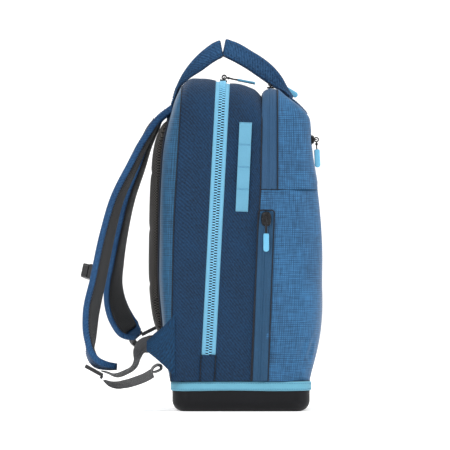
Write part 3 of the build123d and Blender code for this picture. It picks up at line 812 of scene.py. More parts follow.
# ---------------------------------------------------------------- front shell
def front_lower():
    """Front pouch below the seam, one panel from the base up, which creases under the fold."""
    rows, columns = 150, 260
    v, q = np.meshgrid(spread(rows), spread(columns, -1, 1), indexing="ij")
    z = RIM + v * (BREAK - RIM - 0.05 * MM)
    rear = front_seam(z) + 0.6 * MM
    side = np.abs(q)
    puff = crown(np.clip(v, 0, 1), 6) * (0.6 * MM + waves(q * 0.35, z, 21, 0.16, 1.5 * MM))
    pucker = 1.4 * MM * np.exp(-(((z - 92 * MM) / (30 * MM)) ** 2)) * waves(q * 0.5, z * 1.4, 5, 0.05, 1.0)
    hold = np.clip((1 - side) / 0.06, 0, 1)
    lift = (puff + pucker * np.clip((side - 0.45) / 0.2, 0, 1)) * hold
    points = front(q, z, rear, lift)
    piece = apply_modifiers(thicken(grid("front_shell_cloth", points, inside=(0.05, 0, 0.2)), 2.0 * MM))
    dress(piece, BLUE, None, ("front_shell", "lower_front"))
    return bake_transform(piece)


def front_upper():
    """Upper front cover, from the seam over the rounded shoulders to the compartment zip."""
    rows, columns = 120, 240
    v, q = np.meshgrid(spread(rows), spread(columns, -1, 1), indexing="ij")
    z = BREAK + 0.05 * MM + (1 - (1 - v) ** 1.5) * (483.1 * MM - BREAK)
    rear = np.full_like(z, 54.5 * MM)
    hold = np.clip(v / 0.05, 0, 1) * np.clip((1 - v) / 0.08, 0, 1) * np.clip((1 - np.abs(q)) / 0.05, 0, 1)
    puff = 0.7 * MM + waves(q * 0.3, z, 33, 0.14, 1.2 * MM)
    welt = -1.6 * MM * np.exp(-(((z - FRONT_ZIP_Z) / (7 * MM)) ** 2)) * (np.abs(q) < 0.62)
    points = front(q, z, rear, (puff + welt) * hold)
    piece = thicken(grid("front_cover_cloth", points, inside=(0.04, 0, 0.4)), 2.0 * MM)
    return dress(piece, BLUE, "front_half", ("front_cover",))


FRONT_ZIP_Z = (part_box("front_pocket_zip")[0][2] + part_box("front_pocket_zip")[1][2]) / 2


def compartment_top(x):
    """Height of the compartment zip's band over the top of the bag."""
    return curve([(28, 472), (31, 477), (35, 481), (41, 483.2), (48, 483.6), (54, 482.4), (60, 477)], x)


def coil_profile(distance, half_tape):
    """Section of a coil zip: flat tape, two ribs, and the covered coil as a low ridge with a slit in it."""
    away = np.abs(distance)
    ridge = 1.3 * MM * np.exp(-((away / (2.6 * MM)) ** 4))
    slit = -1.1 * MM * np.exp(-((away / (0.5 * MM)) ** 2))
    ribs = 0.35 * MM * np.exp(-(((away - 5.2 * MM) / (0.6 * MM)) ** 2))
    return ridge + slit + ribs - 0.5 * MM * (away > half_tape - 0.8 * MM)


def compartment_zip():
    left, right = 31.2 * MM, 54.4 * MM
    u, p = np.meshgrid(spread(44), spread(300, -1, 1), indexing="ij")
    height = compartment_top(left + u * (right - left))
    x = left + u * (right - left)
    lean = arch(x, p, height, foot=BREAK)[..., 2]
    x = x + (front_seam(lean) - 31.6 * MM) * (1 - u)
    distance = (u - 0.5) * (right - left)
    lift = coil_profile(distance, 11 * MM) - 0.4 * MM
    points = arch(x, p, height, lift, foot=BREAK)
    piece = thicken(grid("compartment_zip_cloth", points, inside=(0.043, 0, 0.35)), 1.6 * MM)
    return dress(piece, BAND_TAPE, "front_half", ("compartment_zip",))


def side_zip_x(z):
    return 28.5 * MM + 0.038 * (z - 50 * MM)


def side_zip(name, side):
    """Side pocket zip: a tape in a slot of the pouch, with the fabric's folded edge round it."""
    half = 11.6 * MM
    u, v = np.meshgrid(spread(36), spread(130), indexing="ij")
    low = RIM + 0.6 * MM
    z = low + v * (SIDE_ZIP_TOP - low)
    distance = (2 * u - 1) * half
    bulge = waves(distance * 2, z, 40, 0.12, 0.3 * MM)
    y = HALF_WIDTH + 1.4 * MM + coil_profile(distance, half) + bulge - 1.6 * MM * v ** 30
    points = np.stack([side_zip_x(z) + distance, side * y, z], axis=-1)
    tape = apply_modifiers(thicken(grid(f"side_zip_cloth_{name}", points, inside=(0.03, 0, 0.2)), 1.6 * MM))
    dress(tape, TRACK_TAPE, None, (f"side_zip_{name}",))
    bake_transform(tape)
    corner = 5 * MM
    turn = spread(8, 0, QUARTER)
    top = SIDE_ZIP_TOP + 1.2 * MM
    rise = np.concatenate([spread(60, low, top - corner), top - corner + corner * np.sin(turn[1:])])
    right = np.concatenate([np.full(60, half), half - corner * (1 - np.cos(turn[1:]))])
    z = np.concatenate([rise, rise[::-1]])
    x = side_zip_x(z) + np.concatenate([right, -right[::-1]]) * 1.04
    line = np.stack([x, np.full(len(x), side * (HALF_WIDTH + 1.3 * MM)), z], axis=1)
    edge = tube(f"side_zip_edge_{name}", line, 0.9 * MM, 8)
    dress(edge, NAVY_SEAM_AND_SHADE)
    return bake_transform(edge)


def front_zip():
    """Zip of the front pocket, set into the cover."""
    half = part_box("front_pocket_zip")[1][1]
    t, s = np.meshgrid(spread(24), spread(120), indexing="ij")
    z = FRONT_ZIP_Z + (2 * t - 1) * 6.4 * MM
    y = (2 * s - 1) * half
    flat = HALF_WIDTH - CORNER
    drop = CORNER - np.sqrt(CORNER**2 - np.clip(np.abs(y) - flat, 0, CORNER) ** 2)
    x = curve(FRONT_LINE, z) - drop + coil_profile((2 * t - 1) * 6.4 * MM, 6.6 * MM) - 0.2 * MM
    piece = thicken(grid("front_zip_cloth", np.stack([x, y, z], axis=-1), inside=(0.04, 0, 0.4)), 1.2 * MM)
    dress(piece, COIL_TAPE, "front_half", ("front_pocket_zip",))
    for k, shift in enumerate((-7.2, 7.2)):
        y = spread(90, -half, half)
        drop = CORNER - np.sqrt(CORNER**2 - np.clip(np.abs(y) - flat, 0, CORNER) ** 2)
        height = np.full(90, FRONT_ZIP_Z + shift * MM)
        line = np.stack([curve(FRONT_LINE, height) - drop + 0.4 * MM, y, height], axis=1)
        dress(tube(f"front_zip_edge_{k}", line, 0.8 * MM, 8), NAVY_SEAM_AND_SHADE, "front_half")


def front_seams():
    """Seam between pouch and upper cover, which fades out round the corner, and the cover's rear edges."""
    for name, side in SIDES:
        q = side * spread(70, 0.79, 1.0)
        z = np.full_like(q, BREAK)
        fade = np.clip((np.abs(q) - 0.79) / 0.09, 0.12, 1)
        line = front(q, z, front_seam(z), -0.1 * MM)
        dress(tube(f"pouch_seam_{name}", line, 0.65 * MM * fade, 8), NAVY_SEAM_AND_SHADE, "front_half")
        under = z - 4 * MM
        surface = front(q, under, front_seam(under), 1.0 * MM)
        outward = unit(surface - front(q, under, front_seam(under), 0.0))
        sew(f"pouch_seam_stitch_{name}", surface[14:], outward[14:], "front_half")
        z = BREAK + spread(120) * (482.0 * MM - BREAK)
        edge = front(np.full_like(z, float(side)), z, np.full_like(z, 54.8 * MM), 0.5 * MM)
        dress(tube(f"cover_edge_{name}", edge, 1.0 * MM, 8), NAVY_SEAM_AND_SHADE, "front_half")


# ---------------------------------------------------------------- base
def rim_line(inset, z, count=400):
    """Rounded rectangle round the tray, evenly spaced, with its outward direction."""
    low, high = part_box("base_tray")
    half_x, half_y, radius = (high[0] - low[0]) / 2 + inset, (high[1] - low[1]) / 2 + inset, 26 * MM + inset
    corners = []
    for cx, cy, start in ((1, 1, 0), (-1, 1, 1), (-1, -1, 2), (1, -1, 3)):
        turn = QUARTER * (start + spread(16))
        centre = np.array([cx * (half_x - radius), cy * (half_y - radius)])
        corners.append(centre + radius * np.stack([np.cos(turn), np.sin(turn)], axis=1))
    loop = np.concatenate(corners)
    loop = np.concatenate([loop, loop[:1]])
    walked = np.concatenate([[0], np.cumsum(np.linalg.norm(np.diff(loop, axis=0), axis=1))])
    stops = np.arange(count) * walked[-1] / count
    ring = np.stack([np.interp(stops, walked, loop[:, c]) for c in range(2)], axis=1)
    step = np.roll(ring, -1, axis=0) - np.roll(ring, 1, axis=0)
    outward = unit(np.stack([step[:, 1], -step[:, 0]], axis=1))
    return (
        np.column_stack([ring, np.full(count, z)]), np.column_stack([outward, np.zeros(count)])
    )


def base_binding():
    """Tape folded over the rim of the base and sewn with two rows of stitches."""
    low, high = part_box("base_binding")
    line, outward = rim_line(0.0, 0.0)
    t = spread(14)
    height = low[2] + t * (high[2] + 0.6 * MM - low[2])
    belly = 0.6 * MM + 1.7 * MM * crown(t, 6)
    sway = 0.35 * MM * np.sin(np.arange(len(line)) * 2 * math.pi / 57)
    points = line[:, None] + outward[:, None] * belly[None, :, None]
    points[..., 2] = height[None, :] + sway[:, None]
    points = np.concatenate([points, points[:1]])
    piece = thicken(grid("base_binding_tape", points, inside=(0, 0, 0.04)), 1.0 * MM)
    dress(close(piece), TRIM, "bag", ("base_binding",))
    for k, z in enumerate((low[2] + 2.6 * MM, high[2] - 2.4 * MM)):
        line, outward = rim_line(2.3 * MM, z, 1200)
        sew(f"binding_stitch_{k}", line, outward, "bag", 3.6 * MM, thread=THREAD)


def rim_skirt():
    """Narrow strip of cloth that closes the gap between the panels and the tray's rim."""
    line, _ = rim_line(-1.5 * MM, RIM - 7 * MM)
    points = np.stack([line, line + [0, 0, 8 * MM]], axis=1)
    points = np.concatenate([points, points[:1]])
    piece = thicken(grid("rim_skirt", points, inside=(0, 0, 0.04)), 1.2 * MM)
    return dress(close(piece), NAVY_SEAM_AND_SHADE, "bag")


# ---------------------------------------------------------------- back
def back_surface(y_share, z):
    """Padded back panel: flat seam edges, quickly rounded sides and a full middle."""
    rise = np.clip(z - (curve(TOP_LINE, -89 * MM) - CORNER), 0, CORNER * 0.999)
    half = HALF_WIDTH - CORNER + np.sqrt(CORNER**2 - rise**2)
    edge = (1 - np.abs(y_share) ** 9) ** 0.45
    x = back_seam(z) - curve(BACK_BULGE, z) * edge
    return np.stack([x, y_share * half, z], axis=-1)


def back_panel():
    share, v = np.meshgrid(np.sin(spread(120, -QUARTER, QUARTER)), spread(150), indexing="ij")
    top = curve(TOP_LINE, -89 * MM)
    z = RIM + (np.sin(v * QUARTER) * 0.25 + v * 0.75) * (top - RIM - 0.2 * MM)
    points = back_surface(share, z)
    points[..., 0] -= waves(share * 0.3, z, 13, 0.12, 0.7 * MM) * crown(v, 4) * (1 - np.abs(share) ** 4)
    piece = thicken(grid("back_border_cloth", points, inside=(-0.03, 0, 0.25)), 2.0 * MM)
    return dress(piece, BORDER_BLUE, "bag", ("back_border",))


def inflate(piece, pressure, cap, frames_run=20, voxel=4.5 * MM):
    """Cloth simulation: the closed form is remeshed evenly, blown up a little and held within a distance."""
    scene = bpy.context.scene
    remesh = piece.modifiers.new("remesh", "REMESH")
    remesh.mode, remesh.voxel_size = "VOXEL", voxel
    apply_modifiers(piece)
    before = np.empty(len(piece.data.vertices) * 3)
    piece.data.vertices.foreach_get("co", before)
    cloth = piece.modifiers.new("cloth", "CLOTH")
    cloth.settings.use_pressure = True
    cloth.settings.uniform_pressure_force = pressure
    cloth.settings.effector_weights.gravity = 0
    cloth.settings.quality = 6
    cloth.point_cache.frame_start, cloth.point_cache.frame_end = 1, frames_run
    for number in range(1, frames_run + 1):
        scene.frame_set(number)
    apply_modifiers(piece)
    scene.frame_set(1)
    after = np.empty(len(before))
    piece.data.vertices.foreach_get("co", after)
    move = (after - before).reshape(-1, 3)
    length = np.linalg.norm(move, axis=1, keepdims=True)
    move *= np.minimum(1, cap / np.maximum(length, 1e-9))
    piece.data.vertices.foreach_set("co", (before.reshape(-1, 3) + move).ravel())
    return piece


def cloth_map(piece, first, second):
    """Cloth coordinates for a remeshed piece: its place along two directions."""
    mesh = piece.data
    layer = mesh.uv_layers.get("cloth") or mesh.uv_layers.new(name="cloth")
    place = np.empty(len(mesh.vertices) * 3)
    mesh.vertices.foreach_get("co", place)
    place = place.reshape(-1, 3)
    corner = np.empty(len(mesh.loops), int)
    mesh.loops.foreach_get("vertex_index", corner)
    uv = np.stack([place @ np.array(first), place @ np.array(second)], axis=1)[corner]
    layer.data.foreach_set("uv", uv.astype(np.float32).ravel())


def back_pad(name):
    """Mesh pad on the back: blown up as cloth, then pressed along two sewn channels."""
    low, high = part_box(f"back_pad_{name}")
    middle, half = (low[1] + high[1]) / 2, (high[1] - low[1]) / 2 - 2 * MM
    rows, columns = 60, 40
    v, t = np.meshgrid(spread(rows), np.arange(columns) * 2 * math.pi / columns, indexing="ij")
    z = low[2] + 3 * MM + v * (high[2] - low[2] - 6 * MM)
    taper = np.clip(1 - np.abs(2 * v - 1) ** 7, 0.02, 1) ** 0.5
    reach = half * (0.55 + 0.45 * taper)
    c, s = np.cos(t), np.sin(t)
    y = middle + reach * np.sign(c) * np.abs(c) ** 0.45
    share = np.clip(y / HALF_WIDTH, -1, 1)
    root = back_surface(share, z)[..., 0]
    depth = 13.5 * MM * taper * (s + 0.55) / 1.55
    points = np.stack([root - depth, y, z], axis=-1)
    core = (root.mean(), middle, 0.27)
    piece = close(grid(f"back_pad_{name}_mesh", points, ring=True, caps=True, inside=core))
    inflate(piece, 4.0, 2.6 * MM)
    count = len(piece.data.vertices)
    place = np.empty(count * 3)
    piece.data.vertices.foreach_get("co", place)
    place = place.reshape(-1, 3)
    face = back_surface(np.clip(place[:, 1] / HALF_WIDTH, -1, 1), place[:, 2])[:, 0]
    outside = np.clip((face - place[:, 0]) / (4 * MM), 0, 1)
    for height in (low[2] + (high[2] - low[2]) * k / 4 for k in (1, 2, 3)):
        channel = np.exp(-(((place[:, 2] - height) / (3.2 * MM)) ** 2))
        middle_share = np.clip((half - np.abs(place[:, 1] - middle)) / (14 * MM), 0, 1)
        place[:, 0] += 1.6 * MM * channel * outside * middle_share
    place[:, 0] = np.minimum(place[:, 0], face - 0.4 * MM)
    piece.data.vertices.foreach_set("co", place.ravel())
    piece.data.update()
    cloth_map(piece, (0, 0, 1), (0, 1, 0))
    piece.data.polygons.foreach_set("use_smooth", [True] * len(piece.data.polygons))
    smooth = piece.modifiers.new("smooth", "SUBSURF")
    smooth.levels = smooth.render_levels = 1
    dress(piece, MESH, "bag", (f"back_pad_{name}",))
    edge_t = np.arange(160) * 2 * math.pi / 160
    c, s = np.cos(edge_t), np.sin(edge_t)
    ring_y = middle + (half + 0.5 * MM) * np.sign(c) * np.abs(c) ** 0.35
    ring_z = (low[2] + high[2]) / 2 + (high[2] - low[2]) / 2 * np.sign(s) * np.abs(s) ** 0.35
    ring = back_surface(ring_y / HALF_WIDTH, ring_z)
    ring[:, 0] -= 0.9 * MM
    edge = tube(f"back_pad_{name}_piping", np.concatenate([ring, ring[:1]]), 1.5 * MM, 8)
    return dress(edge, EDGE_BINDING, "bag")


def wing(name, side):
    """Folded triangle of cloth that holds the end of the strap webbing, sewn along its edges."""
    low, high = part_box(f"wing_{name}")
    tip_z = (low[2] + high[2]) / 2 - 1 * MM
    u, v = np.meshgrid(spread(30), spread(40, -1, 1), indexing="ij")
    front_x, tip_x = high[0], low[0]
    spread_z = (high[2] - low[2]) / 2 * (1 - u) + 7.5 * MM * u
    bow = 2.4 * MM * u * (1 - u) * 4
    x = front_x + (tip_x - front_x) * u - bow * 0.5 * (1 - v**2)
    z = tip_z + (low[2] + high[2] - 2 * tip_z) / 2 * (1 - u) + v * (spread_z - bow * 0.8)
    lift = 0.9 * MM * crown(u, 4) * (1 - np.abs(v) ** 3) + waves(u * 0.05, v * 0.03, 71, 0.05, 0.35 * MM)
    points = np.stack([x, side * (HALF_WIDTH + 1.2 * MM + lift), z], axis=-1)
    piece = thicken(grid(f"wing_{name}_cloth", points, inside=(-0.12, 0, 0.1)), 2.2 * MM, -0.4)
    bevel = piece.modifiers.new("soft_edge", "BEVEL")
    bevel.width, bevel.segments, bevel.limit_method = 0.7 * MM, 2, "ANGLE"
    dress(piece, WING_CLOTH, "bag", (f"wing_{name}",))
    for k, (column, inset) in enumerate(((0, 1), (-1, -1))):
        line = points[1:-1, column].copy()
        line[:, 2] += inset * 3 * MM
        line[:, 1] += side * 0.9 * MM
        sew(f"wing_{name}_stitch_{k}", line, np.tile([0, side, 0], (len(line), 1)), "bag", 3.2 * MM)


# ---------------------------------------------------------------- handles
def handle(name, outer, inner, base, body_name, parent_body, fall, crown_shift):
    """Padded band: up one leg, round two soft corners, along the crown and down the other leg."""
    outer, inner = path([(x, 0, z) for x, z in outer], 30), path([(x, 0, z) for x, z in inner], 30)
    bend_rows, crown_rows = 9, 22
    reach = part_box(body_name)[1][1] - 2.5 * MM
    middle = (outer + inner) / 2
    wide = np.linalg.norm(outer - inner, axis=1)
    radius = 6 * MM
    turn = spread(bend_rows + 1, 0, QUARTER)[1:]
    top = middle[-1] + [crown_shift, 0, 0]
    legs = middle[:-2]
    near = np.column_stack([legs[:, 0], np.full(len(legs), -reach), legs[:, 2]])
    corner = np.column_stack([
        legs[-1, 0] + (top[0] - legs[-1, 0]) * np.sin(turn), -reach + radius * (1 - np.cos(turn)),
        legs[-1, 2] + (top[2] - legs[-1, 2]) * np.sin(turn),
    ])
    crown_y = spread(crown_rows + 2, -reach + radius, reach - radius)[1:-1]
    bridge = np.column_stack([np.full(crown_rows, top[0]), crown_y, np.full(crown_rows, top[2])])
    half = np.concatenate([near, corner])
    mirror = half[::-1] * [1, -1, 1]
    centres = np.concatenate([half, bridge, mirror])
    leg_across = unit((outer - inner)[:-2])
    twist = np.clip(1 - spread(len(legs)) / 0.28, 0, 1) ** 1.5
    leg_across[:, 1] += twist * 2.2
    leg_across = unit(leg_across)
    top_across = unit((outer - inner)[-1])
    across_half = np.concatenate([leg_across, np.tile(top_across, (bend_rows, 1))])
    across_far = across_half[::-1] * [1, -1, 1]
    across = np.concatenate([across_half, np.tile(top_across, (crown_rows, 1)), across_far])
    widths_half = np.concatenate([wide[:-2], np.full(bend_rows, wide[-1])])
    widths = np.concatenate([widths_half, np.full(crown_rows, wide[-1]), widths_half[::-1]])
    _, across, outward = frames(centres, across)
    piece = band(f"{name}_cloth", centres, across, outward, widths, 4.6 * MM, power=7, count=36)
    dress(close(piece), HANDLE_CLOTH, body_name, (body_name,))
    for k, sign in enumerate((-1, 1)):
        edge = centres + across * (widths / 2 - 0.7 * MM)[:, None] * sign
        dress(tube(f"{name}_edge_{k}", edge, 1.1 * MM, 8), EDGE_BINDING, body_name)
        line = centres + across * (widths / 2 - 4.2 * MM)[:, None] * sign
        for face in (-1, 1):
            sew(f"{name}_stitch_{k}_{face + 1}", line + outward * face * 2.3 * MM, outward * face, body_name)
    for side_name, side in SIDES:
        sewn_end(f"{name}_end_{side_name}", base, side * reach, fall, parent_body)


def sewn_end(name, line, y, width, body_name):
    """End of a handle sewn flat on its panel, with a box of stitches."""
    centres = path([(x, y / MM, z) for x, z in line], 24)
    sideways = np.tile([0.0, 1.0, 0.0], (24, 1))
    _, across, outward = frames(centres, sideways)
    centre = np.array([0, y, 0.3])
    outward = outward * np.sign(((centres - centre) * outward).sum(axis=1, keepdims=True))
    piece = band(name, centres + outward * 1.3 * MM, across, outward, width, 2.6 * MM, power=6)
    dress(close(piece), HANDLE_CLOTH, body_name, ())
    half = width / 2 - 2.6 * MM
    inner = centres[5:-2] + outward[5:-2] * 2.7 * MM
    for k, sign in enumerate((-1, 1)):
        sew(f"{name}_stitch_{k}", inner + across[5:-2] * sign * half, outward[5:-2], body_name, 3.2 * MM)
    for k, at in enumerate((3, -1)):
        bar = inner[at] + across[5:-2][at] * spread(12, -half, half)[:, None]
        sew(f"{name}_bar_{k}", bar, np.tile(outward[5:-2][at], (12, 1)), body_name, 3.2 * MM)


REAR_OUTER = [(-103, 470), (-98, 485), (-87, 507), (-69, 530), (-51, 546), (-35, 557)]
REAR_INNER = [(-98, 469), (-91, 489), (-79, 501), (-61, 513), (-45, 525), (-30.5, 534)]
FRONT_OUTER = [(80.5, 472), (71, 486), (61, 502.5), (47, 519), (32, 531), (14, 542), (-5, 553), (-20, 559)]
FRONT_INNER = [(73.5, 469), (62, 480.5), (46, 491), (26, 505), (10, 516), (-8, 526.5), (-25, 535)]


# ---------------------------------------------------------------- shoulder straps
STRAP_LEFT = [
    (-106, -62, 455.5, 52, 0), (-124, -64, 441, 56, 0), (-144, -68, 411, 60, 3), (-167, -76, 365, 62, 7),
    (-187, -84, 322, 62, 10), (-203, -92, 264, 62, 13), (-217, -98, 195, 60, 15), (-227, -102, 147, 58, 16),
    (-229, -104, 108, 54, 8), (-228, -105, 86, 48, -6), (-218, -106, 71.5, 42, -12),
    (-203, -106, 66, 36, -10), (-186, -106, 64.5, 28, -6),
]
STRAP_RIGHT = [
    (-106, 62, 455.5, 52, 0), (-124, 64, 441, 56, 0), (-141, 68, 411, 60, 3), (-157, 76, 365, 62, 6),
    (-172, 84, 322, 62, 8), (-184, 90, 270, 62, 10), (-192, 94, 222, 60, 14), (-196, 95, 186, 58, 20),
    (-193, 94, 160, 56, 28), (-184, 92, 136, 54, 34), (-171, 89, 118, 50, 36), (-157, 86, 109, 42, 36),
]


def strap(name, stations):
    """Shoulder strap: twill cover on the outside, foam and mesh inside, bound edges and a webbing rail."""
    rows = path(stations, 150)
    centres, width = rows[:, :3], rows[:, 3]
    across, outward = laid(centres, rows[:, 4] / MM)
    s = spread(len(centres))
    body_name = f"strap_{name}"
    end = np.clip((1 - s) / 0.05, 0.0, 1) ** 0.5
    wide = width * (0.3 + 0.7 * end)
    cover = band(f"strap_cover_{name}_cloth", centres + outward * 1.0 * MM, across, outward, wide, 4.4 * MM,
                 power=5, count=40)
    dress(close(cover), STRAP_CLOTH, body_name, (f"strap_cover_{name}",))
    swell = 0.25 + 0.75 * np.clip((s - 0.02) / 0.08, 0, 1)
    thin_out = 0.35 + 0.65 * np.clip((0.97 - s) / 0.08, 0, 1)
    full = 9.0 * MM * swell * thin_out
    span = slice(4, len(centres) - 6)
    core = centres - outward * (full / 2 + 0.6 * MM)[:, None]
    pad = band(f"strap_pad_{name}_mesh", core[span], across[span], outward[span], (wide - 7 * MM)[span],
               full[span], power=3.2, count=40)
    dress(close(pad), STRAP_MESH, body_name, (f"strap_pad_{name}",))
    for k, sign in enumerate((-1, 1)):
        edge = centres + across * ((wide / 2 - 1.6 * MM) * sign)[:, None] - outward * 2.0 * MM
        piece = band(f"strap_binding_{name}_{k}", edge, across, outward, 4.6 * MM, 9.2 * MM, power=3.2,
                     count=18)
        dress(close(piece), STRAP_CLOTH, body_name)
        line = centres + across * ((wide / 2 - 4.4 * MM) * sign)[:, None] + outward * 3.2 * MM
        sew(f"strap_stitch_{name}_{k}", line[3:-8], outward[3:-8], body_name, 3.6 * MM)
    first, last, gaps = 10, 111, 9
    rail = slice(first, last + 1)
    bumps = 1.2 * MM * np.abs(np.sin(spread(last - first + 1) * math.pi * gaps))
    raised = centres[rail] + outward[rail] * (3.6 * MM + bumps[:, None])
    strip = band(f"strap_rail_{name}", raised, across[rail], outward[rail], 19 * MM, 1.4 * MM, power=7,
                 count=20)
    dress(close(strip), WEBBING, body_name)
    for k in range(gaps + 1):
        if name == "left" and k == 8:  # the sternum clip slides here
            continue
        at = first + round(k * (last - first) / gaps)
        bar = centres[at] + outward[at] * 4.5 * MM + across[at] * spread(12, -8.5 * MM, 8.5 * MM)[:, None]
        sew(f"strap_tack_{name}_{k}", bar, np.tile(outward[at], (12, 1)), body_name, 1.5 * MM,
            (1.2 * MM, 3.0 * MM, 0.9 * MM), BUCKLE)


def webbing(name, route, turns, width=25.0, thick=1.7, count=70):
    rows = path([(*point, angle) for point, angle in zip(route, turns)], count)
    across, outward = laid(rows[:, :3], rows[:, 3] / MM)
    return close(band(name, rows[:, :3], across, outward, width * MM, thick * MM, power=9, count=24))


WEBBING_LEFT = [
    (-134, -152.5, 101), (-143, -151.8, 99), (-151, -149, 91), (-155, -144, 78), (-162, -136, 66),
    (-174, -127, 58), (-188, -117, 54), (-204, -107, 58),
]
WEBBING_RIGHT = [
    (-132, 152.5, 98), (-141, 151.5, 97), (-149, 147, 97), (-156, 139, 99), (-161, 130, 102),
    (-160.5, 124, 105.5), (-157.5, 121, 108),
]
TAIL_LEFT = [
    (-205, -107, 46), (-198, -108, 42), (-187, -111, 39.5), (-173, -116, 41), (-157, -122, 45.5),
    (-143, -126, 51), (-132, -128, 57.5),
]
TAIL_LOOP = [
    (-133, -128, 57), (-133.5, -128, 62), (-130, -128.5, 67), (-124, -129, 69.5), (-119.8, -129, 67.5),
    (-119.8, -129, 64), (-123.5, -128.5, 61), (-131, -128, 58.5),
]
TAIL_RIGHT = [(-140, 121, 110), (-136, 121, 100), (-129, 121, 90), (-121, 121, 81)]


def adjusters():
    """Webbing from each wing to its ladder lock, and the free tail with its end folded into a loop."""
    left = dress(webbing("adjuster_left", WEBBING_LEFT, (90, 86, 50, 18, 18, 17, 14, 4)), WEBBING, None,
                 ("webbing_left",))
    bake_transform(left)
    right = dress(webbing("adjuster_right", WEBBING_RIGHT, (90, 84, 55, 35, 15, 4, 0)), WEBBING, None,
                  ("webbing_right",))
    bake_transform(right)
    dress(webbing("tail_left_webbing", TAIL_LEFT, (4, 14, 24, 28, 30, 30, 30)), WEBBING, "strap_left",
          ("tail_left",))
    dress(webbing("tail_left_loop", TAIL_LOOP, (8,) * 8, width=22.0, thick=1.7, count=40),
          WEBBING, "strap_left")
    dress(webbing("tail_right_webbing", TAIL_RIGHT, (0, 0, 0, 0), count=30), WEBBING, "strap_right",
          ("tail_right",))


# ---------------------------------------------------------------- small parts
def daisy_chain():
    """Webbing tacked down at five places, so that it stands off in four loops."""
    count, loops = 160, 4
    t = spread(count)
    z = 299.2 * MM + t * 133 * MM
    x = 1 * MM + t * 6 * MM
    stand = 0.5 * MM + 3.0 * MM * np.abs(np.sin(t * loops * math.pi)) ** 0.8
    centres = np.stack([x, -(HALF_WIDTH + 2.0 * MM + stand), z], axis=1)
    across = np.tile(unit(np.array([1.0, 0, -6 / 133])), (count, 1))
    _, across, outward = frames(centres, across)
    piece = band("daisy_chain_webbing", centres, across, outward, 18.6 * MM, 1.5 * MM, power=9, count=24)
    dress(close(piece), LOOP_TAPE, "front_half", ("daisy_chain",))
    for k in range(loops + 1):
        share = k / loops
        centre = np.array([1 * MM + share * 6 * MM, -(HALF_WIDTH + 3.6 * MM), 299.2 * MM + share * 133 * MM])
        centre[2] += (1.6 * MM if k == 0 else -1.6 * MM if k == loops else 0)
        for row, shift in enumerate((-0.9 * MM, 0.9 * MM)):
            line = centre + np.array([1.0, 0, -0.045]) * spread(14, -8.4 * MM, 8.4 * MM)[:, None]
            line[:, 2] += shift
            sew(f"daisy_tack_{k}_{row}", line, np.tile([0, -1.0, 0], (14, 1)), "front_half", 1.7 * MM,
                (1.5 * MM, 0.8 * MM, 0.5 * MM), THREAD)


def pull(name, direction, axle, stem, tab_length, across_axle, tab_direction=None):
    """Cord ring and stem with a soft rubber tab. The ring goes round the slider's bar."""
    joint = next(j for j in frame["joints"] if j["name"] == f"{name}_pull_swing")
    pivot = np.array(joint["pos_m"])
    direction, axle = unit(np.array(direction, float)), unit(np.array(axle, float))
    outward = np.cross(direction, axle)
    turn = spread(33, 0, 2 * math.pi)
    ring = pivot + 3.1 * MM * (np.cos(turn)[:, None] * direction + np.sin(turn)[:, None] * outward)
    body_name = f"{name}_pull"
    dress(tube(f"{name}_pull_ring", ring, 1.0 * MM, 10), CORD, body_name)
    near = 3.7 * MM
    for k, shift in enumerate((-0.9 * MM, 0.9 * MM)):
        s = spread(14)
        line = pivot + direction * (near + s * (stem + 2 * MM))[:, None] + axle * shift
        line = line + outward * (0.3 * MM * np.sin(s * math.pi * (2 + k)))[:, None]
        dress(tube(f"{name}_pull_cord_{k}", line, 0.85 * MM, 8), CORD, body_name)
    wide, thin = (axle, outward) if not across_axle else (outward, axle)
    knot = pivot + direction * (near + 1.4 * MM + spread(7, 0, 3 * MM))[:, None]
    belly = np.array([2.6, 3.8, 4.4, 4.6, 4.4, 3.8, 2.6]) * MM
    collar = band(f"{name}_pull_collar", knot, np.tile(wide, (7, 1)), np.tile(thin, (7, 1)), belly, 3.2 * MM,
                  power=3, count=14)
    dress(collar, CORD, body_name)
    s = spread(44)
    tab_direction = direction if tab_direction is None else np.array(tab_direction, float)
    line = pivot + direction * (near + stem) + tab_direction * (s * tab_length)[:, None]
    if across_axle:
        wide = unit(np.cross(tab_direction, thin))
    else:
        thin = unit(np.cross(wide, tab_direction))
    widths = 8.6 * MM * np.clip(1 - np.clip((s - 0.84) / 0.17, 0, 1) ** 2.2, 0.04, 1) ** 0.5
    widths *= 0.82 + 0.18 * np.clip(s / 0.08, 0, 1)
    ribs = 0.45 * MM * np.clip(np.sin((s - 0.2) * 52), 0, 1) * (s > 0.2) * (s < 0.62)
    rows = (len(line), 1)
    tab = band(f"{name}_pull_tab", line, np.tile(wide, rows), np.tile(thin, rows), widths, 3.6 * MM - ribs,
               power=3.6, count=28)
    dress(close(tab), RUBBER, body_name, (f"{name}_pull",))


def falling(degrees):
    """Direction forward and down at an angle below the horizon."""
    return math.cos(math.radians(degrees)), 0, -math.sin(math.radians(degrees))


def pulls():
    pull("main_left", falling(11), (0, 1, 0), 17 * MM, 27 * MM, False)
    pull("main_right", falling(11), (0, 1, 0), 17 * MM, 27 * MM, False)
    pull("compartment", falling(12), (0, 1, 0), 12 * MM, 29 * MM, True, falling(31))
    pull("side_left", (0, 0, -1), (1, 0, 0), 18 * MM, 27 * MM, False)
    pull("side_right", (0, 0, -1), (1, 0, 0), 18 * MM, 27 * MM, False)
    pull("front", (0.05, 0, -1), (0, 1, 0), 11 * MM, 27 * MM, True)


